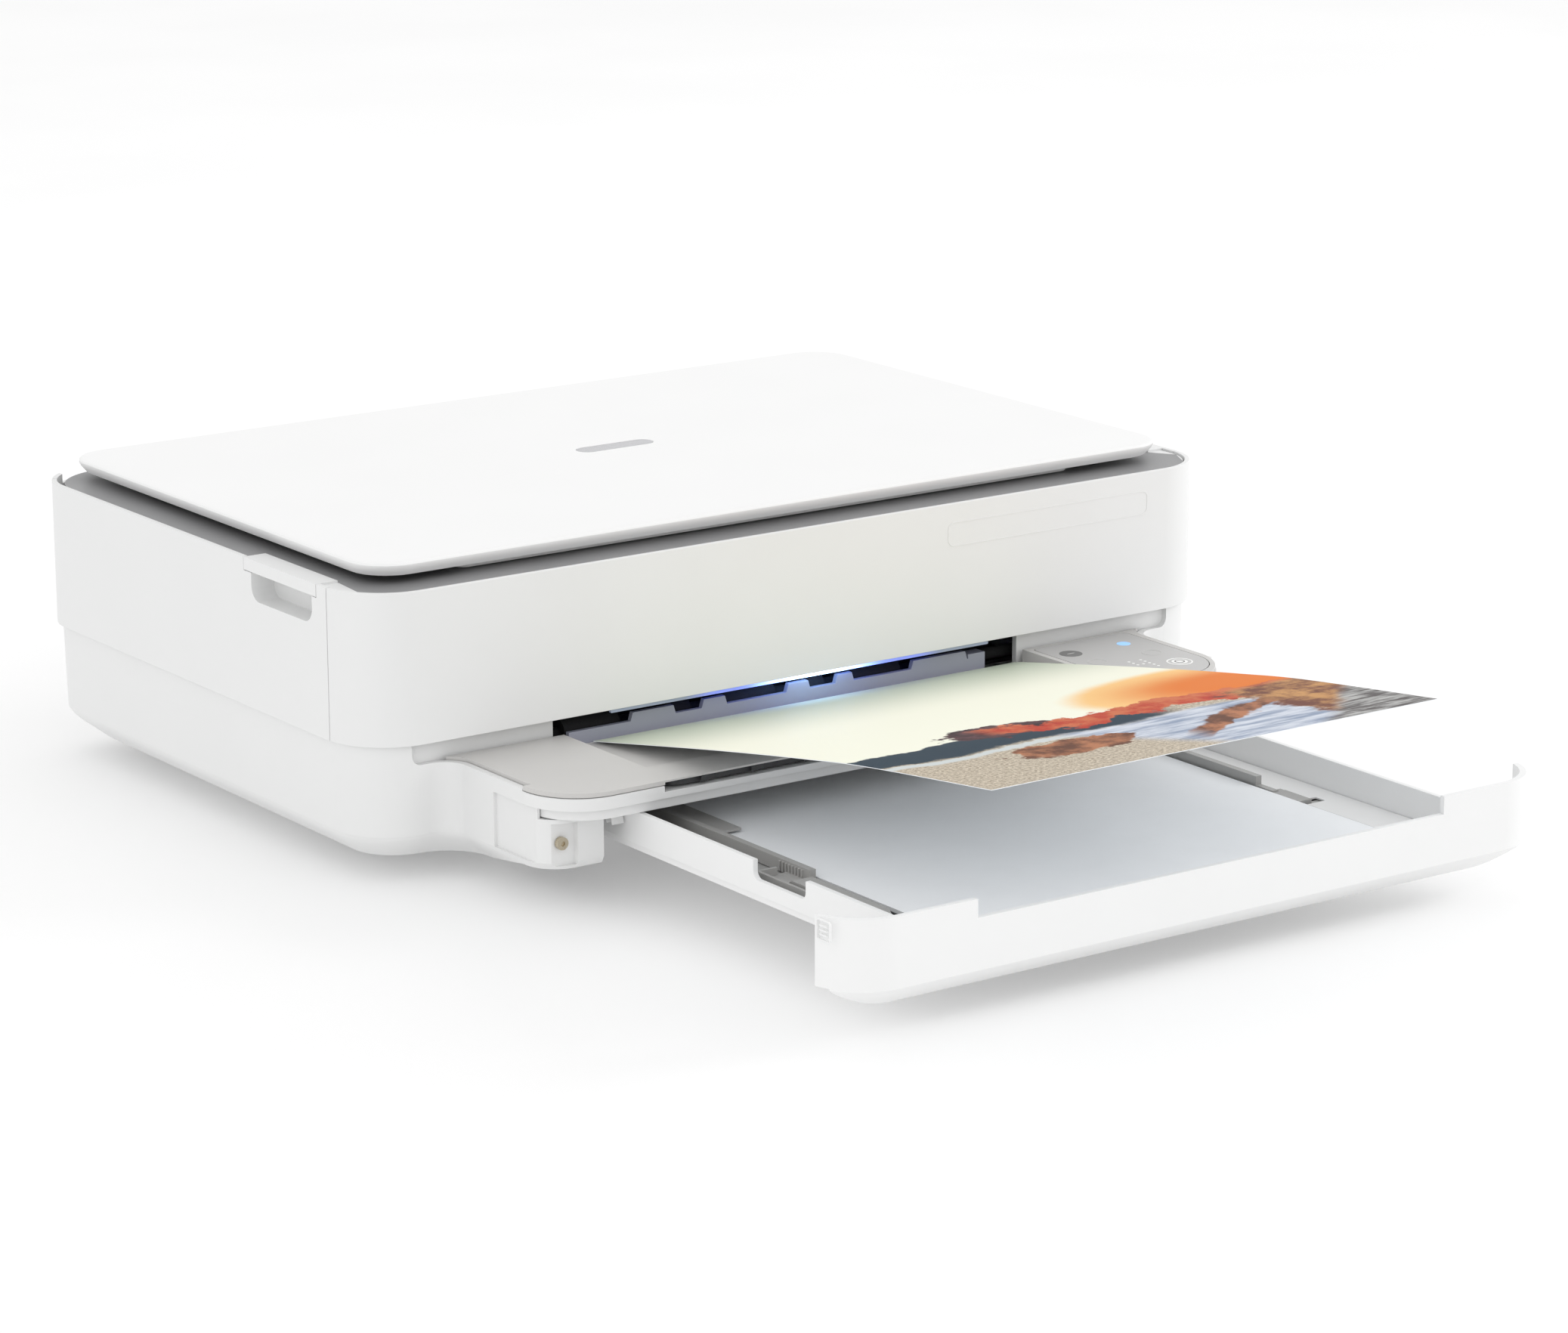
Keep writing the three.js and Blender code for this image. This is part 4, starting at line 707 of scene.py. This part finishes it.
# Lid: the CAD shell with a shallow seat for a blank silver badge.
def carved_copy(node, name, cutter_bm):
    """Copy of a CAD object with the cutter's shape taken out of it."""
    source = NODES[node]
    obj = bpy.data.objects.new(name, source.data.copy())
    bpy.context.scene.collection.objects.link(obj)
    cutter_mesh = bpy.data.meshes.new(name + "_cutter")
    bmesh.ops.recalc_face_normals(cutter_bm, faces=cutter_bm.faces[:])
    cutter_bm.to_mesh(cutter_mesh)
    cutter_bm.free()
    cutter = bpy.data.objects.new(name + "_cutter", cutter_mesh)
    bpy.context.scene.collection.objects.link(cutter)
    bm = bmesh.new()
    bm.from_mesh(obj.data)
    bmesh.ops.remove_doubles(bm, verts=bm.verts[:], dist=WELD_REACH)
    bm.to_mesh(obj.data)
    bm.free()
    cut = obj.modifiers.new("cut", "BOOLEAN")
    cut.operation = "DIFFERENCE"
    cut.object = cutter
    cut.solver = "EXACT"
    bpy.context.view_layer.update()
    evaluated = obj.evaluated_get(bpy.context.evaluated_depsgraph_get())
    mesh = bpy.data.meshes.new_from_object(evaluated)
    obj.modifiers.clear()
    obj.data = mesh
    bpy.data.objects.remove(cutter)
    return obj


BADGE = {"half": 19, "front": 143, "back": 153, "corner": 4.9, "bottom": 129.25, "top": 129.76}
SEAT_GAP = 0.2
SEAT_FLOOR = 129.3
ABOVE_LID = 131


def badge_plan(grow):
    half, corner = BADGE["half"] + grow, BADGE["corner"] + grow
    return rounded_outline(-half, half, BADGE["front"] - grow, BADGE["back"] + grow, corner, 8)


bm = bmesh.new()
slab(bm, badge_plan(SEAT_GAP), SEAT_FLOOR, ABOVE_LID, on_top)
lid = carved_copy("lid_shell", "lid_cover", bm)
paint(lid, LID_WHITE)
finish_edges(lid, 0.45)
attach(lid, "lid")
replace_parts(lid, "lid_shell")
bm = bmesh.new()
slab(bm, badge_plan(0), BADGE["bottom"], BADGE["top"], on_top)
piece("lid_badge", bm, SILVER, "lid", edge=0.18)

# Tray: fine near-black raised strips on the floor beside the stack, painted shade for the shade in the
# floor's grooves.
GROOVE_SHADE_HALF = 0.45
GROOVE_SHADE_BOTTOM, GROOVE_SHADE_TOP = 26.5, 28.0
GUIDE_FRONT = -211.5  # y just in front of the left guide's long bar


def groove_shade_strip(bm, x, front, back):
    slab(bm, rectangle(x - GROOVE_SHADE_HALF, x + GROOVE_SHADE_HALF, front, back), GROOVE_SHADE_BOTTOM, GROOVE_SHADE_TOP, on_top)


bm = bmesh.new()
for x in (-110.4, -112.2, -114.0, -115.8):
    groove_shade_strip(bm, x, -246, GUIDE_FRONT)
    groove_shade_strip(bm, x, -10, 20)
for x in (-110.2, -112.6):
    groove_shade_strip(bm, x, GUIDE_FRONT, -168)
piece("tray_floor_groove_shade", bm, DARK, "tray", edge=0.12)

# A small blank frame round three bars on the tray front's left end.
WING_FACE = -172
PLATE = {"front": -251.2, "back": -242.8, "bottom": 39.2, "top": 47.0, "corner": 1.2, "line": 0.4}
BAR_FRONT, BAR_BACK = -249.6, -244.6
BAR_HALF = 0.3
PLATE_DEPTH = 0.8  # how far the frame and the bars reach into the wing


def on_left_wing(a, b, h):
    """a along Y, b along Z, h outwards from the tray front's left end."""
    return at(WING_FACE - h, a, b)


def plate_outline(inset):
    return rounded_outline(
        PLATE["front"] + inset, PLATE["back"] - inset,
        PLATE["bottom"] + inset, PLATE["top"] - inset, PLATE["corner"] - inset, steps=4)[::-1]


bm = bmesh.new()
ring(bm, plate_outline(0), plate_outline(PLATE["line"]), -PLATE_DEPTH, 0.14, on_left_wing)
for z in (41.4, 43.1, 44.8):
    bar = rounded_outline(BAR_FRONT, BAR_BACK, z - BAR_HALF, z + BAR_HALF, r=0.25, steps=3)
    slab(bm, bar[::-1], -PLATE_DEPTH, 0.12, on_left_wing)
piece("tray_front_plate", bm, TRAY_WHITE, "tray", edge=MARK_EDGE)

# Two slanted ribs of the clip that holds the shelf, inside the left arm.
CLIP = {"outer": -141.5, "inner": -135.9, "bottom": 33.0, "top": 39.75, "lean": 1.6}
FOOT_THICK, HEAD_THICK = 1.0, 1.2


def clip_rib(bm, y):
    """A rib whose foot is in front of its head by the clip's lean, and a little thinner."""
    front = y - CLIP["lean"]
    foot = rectangle(CLIP["outer"], CLIP["inner"], front, front + FOOT_THICK)
    head = rectangle(CLIP["outer"], CLIP["inner"], y, y + HEAD_THICK)
    low = [bm.verts.new(at(a, b, CLIP["bottom"])) for a, b in foot]
    high = [bm.verts.new(at(a, b, CLIP["top"])) for a, b in head]
    bm.faces.new(low[::-1])
    bm.faces.new(high)
    for i in range(len(low)):
        j = (i + 1) % len(low)
        bm.faces.new((low[i], low[j], high[j], high[i]))


bm = bmesh.new()
for y in (-61.5, -57.5):
    clip_rib(bm, y)
piece("shelf_clip_ribs", bm, WHITE, "base", edge=0.2)


# ------------------------------------------------------------------ stage, light and camera
FLOOR_HALF = 9.0
FLOOR_GREY = ((0.80, 0.80, 0.80), (0.82, 0.82, 0.82))
FLOOR_GLOW = 0.16
SKY_LIGHT = 0.95


def floor():
    bm = bmesh.new()
    bmesh.ops.create_grid(bm, x_segments=8, y_segments=8, size=FLOOR_HALF)
    mesh = bpy.data.meshes.new("floor")
    bm.to_mesh(mesh)
    bm.free()
    obj = bpy.data.objects.new("floor", mesh)
    bpy.context.scene.collection.objects.link(obj)
    n = Nodes("floor_paint")
    n.set(Base_Color=n.mix(n.step(n.noise(3.0, 3.0), 0.3, 0.7), *FLOOR_GREY))
    n.set(Emission_Color=(1.0, 1.0, 1.0), Emission_Strength=FLOOR_GLOW)
    n.set(Roughness=0.9, Specular_IOR_Level=0.1)
    paint(obj, n.mat)


floor()

world = bpy.data.worlds.new("studio")
bpy.context.scene.world = world
world.use_nodes = True
background = world.node_tree.nodes["Background"]
background.inputs["Color"].default_value = (1.0, 1.0, 1.0, 1.0)
background.inputs["Strength"].default_value = SKY_LIGHT


def softbox(name, place, target, width, height, power):
    """A rectangular white light of the given size in metres and power in watts."""
    light = bpy.data.lights.new(name, "AREA")
    light.shape = "RECTANGLE"
    light.size = width
    light.size_y = height
    light.energy = power
    obj = bpy.data.objects.new(name, light)
    obj.location = place
    obj.rotation_mode = "QUATERNION"
    obj.rotation_quaternion = (Vector(target) - Vector(place)).to_track_quat("-Z", "Y")
    bpy.context.scene.collection.objects.link(obj)


softbox("right_box", (2.5, -0.75, 1.05), (0.05, -0.12, 0.04), width=1.3, height=1.0, power=17.0)
softbox("top_box", (0.5, 0.9, 1.9), (0, 0, 0.05), width=2.2, height=1.6, power=2.5)
softbox("left_box", (-2.2, -0.7, 0.9), (0, 0, 0.06), width=1.6, height=1.4, power=3.5)
softbox("front_box", (0.4, -2.6, 1.1), (0, 0, 0.05), width=1.8, height=1.2, power=1.5)

# The camera stands to the left of the printer and looks a little down at it.
CAMERA_PLACE = (-1.172488, -1.651628, 0.591243)
YAW, PITCH, ROLL = math.radians(-35.179), math.radians(-14.694), math.radians(-0.179)
SENSOR_WIDTH = 36.0
LENS = 115.4369  # focal length for that sensor, in millimetres

ahead = Vector((math.sin(-YAW) * math.cos(PITCH), math.cos(YAW) * math.cos(PITCH), math.sin(PITCH)))
level = ahead.cross(Vector((0, 0, 1))).normalized()
up = level.cross(ahead)
right = math.cos(ROLL) * level + math.sin(ROLL) * up
over = -math.sin(ROLL) * level + math.cos(ROLL) * up
turn = Matrix((right, over, -ahead)).transposed()
camera_data = bpy.data.cameras.new("camera")
camera_data.sensor_fit = "HORIZONTAL"
camera_data.sensor_width = SENSOR_WIDTH
camera_data.lens = LENS
camera_data.clip_start = 0.05
camera_data.clip_end = 60.0
camera = bpy.data.objects.new("camera", camera_data)
bpy.context.scene.collection.objects.link(camera)
camera.matrix_world = Matrix.Translation(CAMERA_PLACE) @ turn.to_4x4()
bpy.context.scene.camera = camera
bpy.context.scene.view_settings.view_transform = "Standard"
